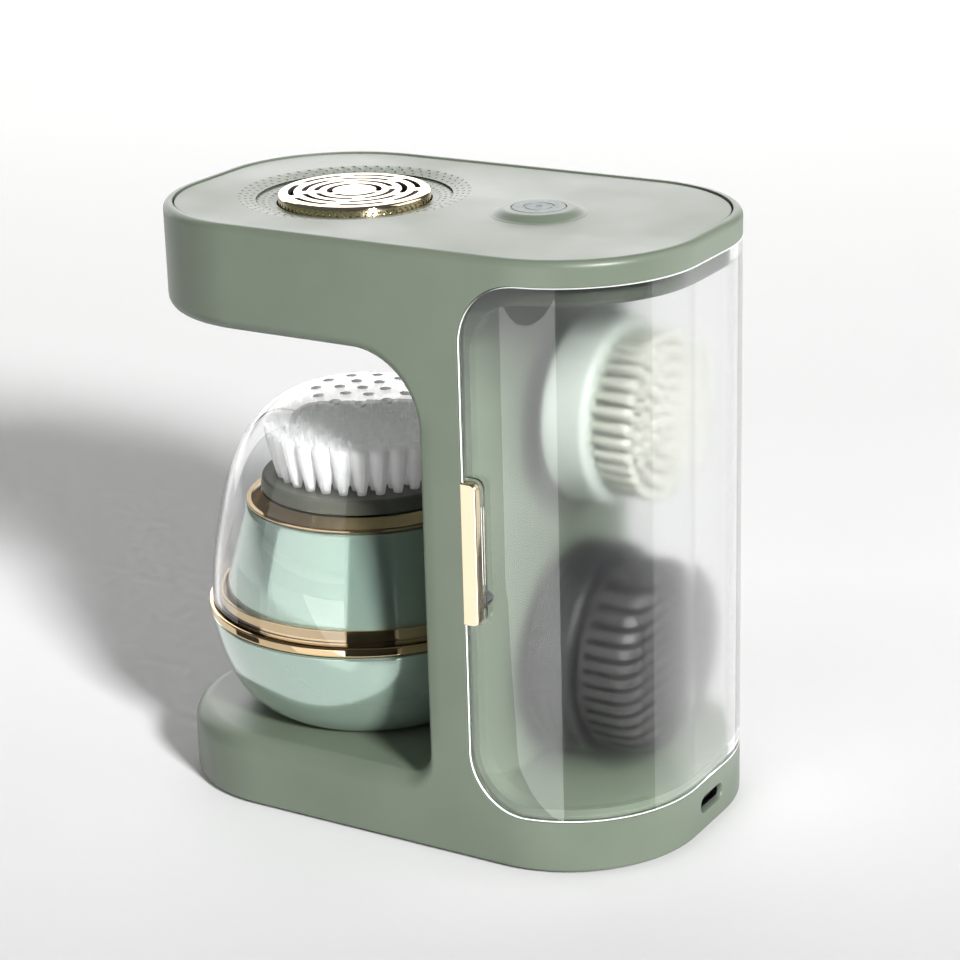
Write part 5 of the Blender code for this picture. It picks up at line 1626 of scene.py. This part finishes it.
def floor_paper_painted_light():
    """Pale paper, with painted shade towards the eye and a painted glow far away."""
    look, tree, shader, place = new_look("floor_paper_painted_light")
    turned = node(tree, "Mapping", {"Vector": place, "Rotation": (0, 0, -CAMERA_AZIMUTH)}).outputs["Vector"]
    depth = node(tree, "SeparateXYZ", {"Vector": turned}).outputs[1]
    fibre = noise(tree, place, 300.0, 3.0)
    farther = ranged(tree, depth, 0.0, 1.0, -0.15, 0.12)
    # Painted shade: the paper darkens towards the eye.
    shade = blended(tree, farther, (0.60, 0.60, 0.603), (0.94, 0.94, 0.94))
    # Painted glow: the far paper gives off light, though it is no lamp.
    haze = ranged(tree, depth, 0.0, 0.2, 0.28, 0.8)
    feed(tree, shader, Base_Color=shade, Roughness=ranged(tree, fibre, 0.7, 0.8))
    feed(tree, shader, Emission_Color=(1.0, 1.0, 1.0, 1.0), Emission_Strength=haze)
    feed(tree, shader, Normal=bump(tree, fibre, 0.05, 0.05))
    return look


# The world's strength as a fill light, and as the eye sees it past the floor's end.
WORLD_FILL = 0.09
WORLD_SEEN = 0.9
FLOOR_HALF = 6.0
KEY_POWER = 104.0
SHEEN_POWER = 4.0
FRONT_POWER = 5.2


def make_studio():
    world = bpy.data.worlds.new("studio")
    bpy.context.scene.world = world
    world.use_nodes = True
    tree = world.node_tree
    background = tree.nodes["Background"]
    background.inputs["Color"].default_value = (0.98, 0.99, 1.0, 1.0)
    seen = node(tree, "LightPath").outputs["Is Camera Ray"]
    strength = ranged(tree, seen, WORLD_FILL, WORLD_SEEN, 0.0, 1.0)
    tree.links.new(strength, background.inputs["Strength"])
    place = STUDIO_MIDDLE + direction(59.5, 27.5) * 2.5
    key = make_area_light("key", place, STUDIO_MIDDLE, (0.36, 0.36), KEY_POWER)
    key.visible_transmission = False
    place = STUDIO_MIDDLE + direction(210.0, 21.0) * 1.6
    make_area_light("back_sheen", place, STUDIO_MIDDLE, (1.7, 0.8), SHEEN_POWER, (1.0, 0.985, 0.94))
    aim = Vector((0.0, 0.0, 0.5))
    front = make_area_light("front_card", direction(-18.5, 0.0) + aim, aim, (1.48, 1.0), FRONT_POWER)
    front.visible_glossy = False
    floor_mesh = bpy.data.meshes.new("floor")
    corners = [(x * FLOOR_HALF, y * FLOOR_HALF, 0) for x, y in ((-1, -1), (1, -1), (1, 1), (-1, 1))]
    floor_mesh.from_pydata(corners, [], [(0, 1, 2, 3)])
    floor = bpy.data.objects.new("floor", floor_mesh)
    bpy.context.scene.collection.objects.link(floor)
    floor_mesh.materials.append(floor_paper_painted_light())
    make_cards()
    bpy.context.scene.view_settings.view_transform = "Standard"


paint_cad_nodes()
for make in (
    make_housing, make_top_panel, make_filter_cap, make_top_button, make_door, make_handle,
    make_lower_shell, make_mid_band, make_upper_shell, make_top_ring, make_dome_seat, make_dome,
    make_head_base, make_bristles, make_power_button, make_spare_heads, make_usb_socket,
):
    make()
corner_names = ("front_left", "front_right", "rear_left", "rear_right")
for corner_name in corner_names:
    make_foot("foot_" + corner_name, (2.2,))
make_foot("grip_pad", (2.5, 5.0, 7.2))
for corner_name in corner_names:
    make_screw("screw_" + corner_name)
make_outlet_grille()
make_camera()
make_studio()
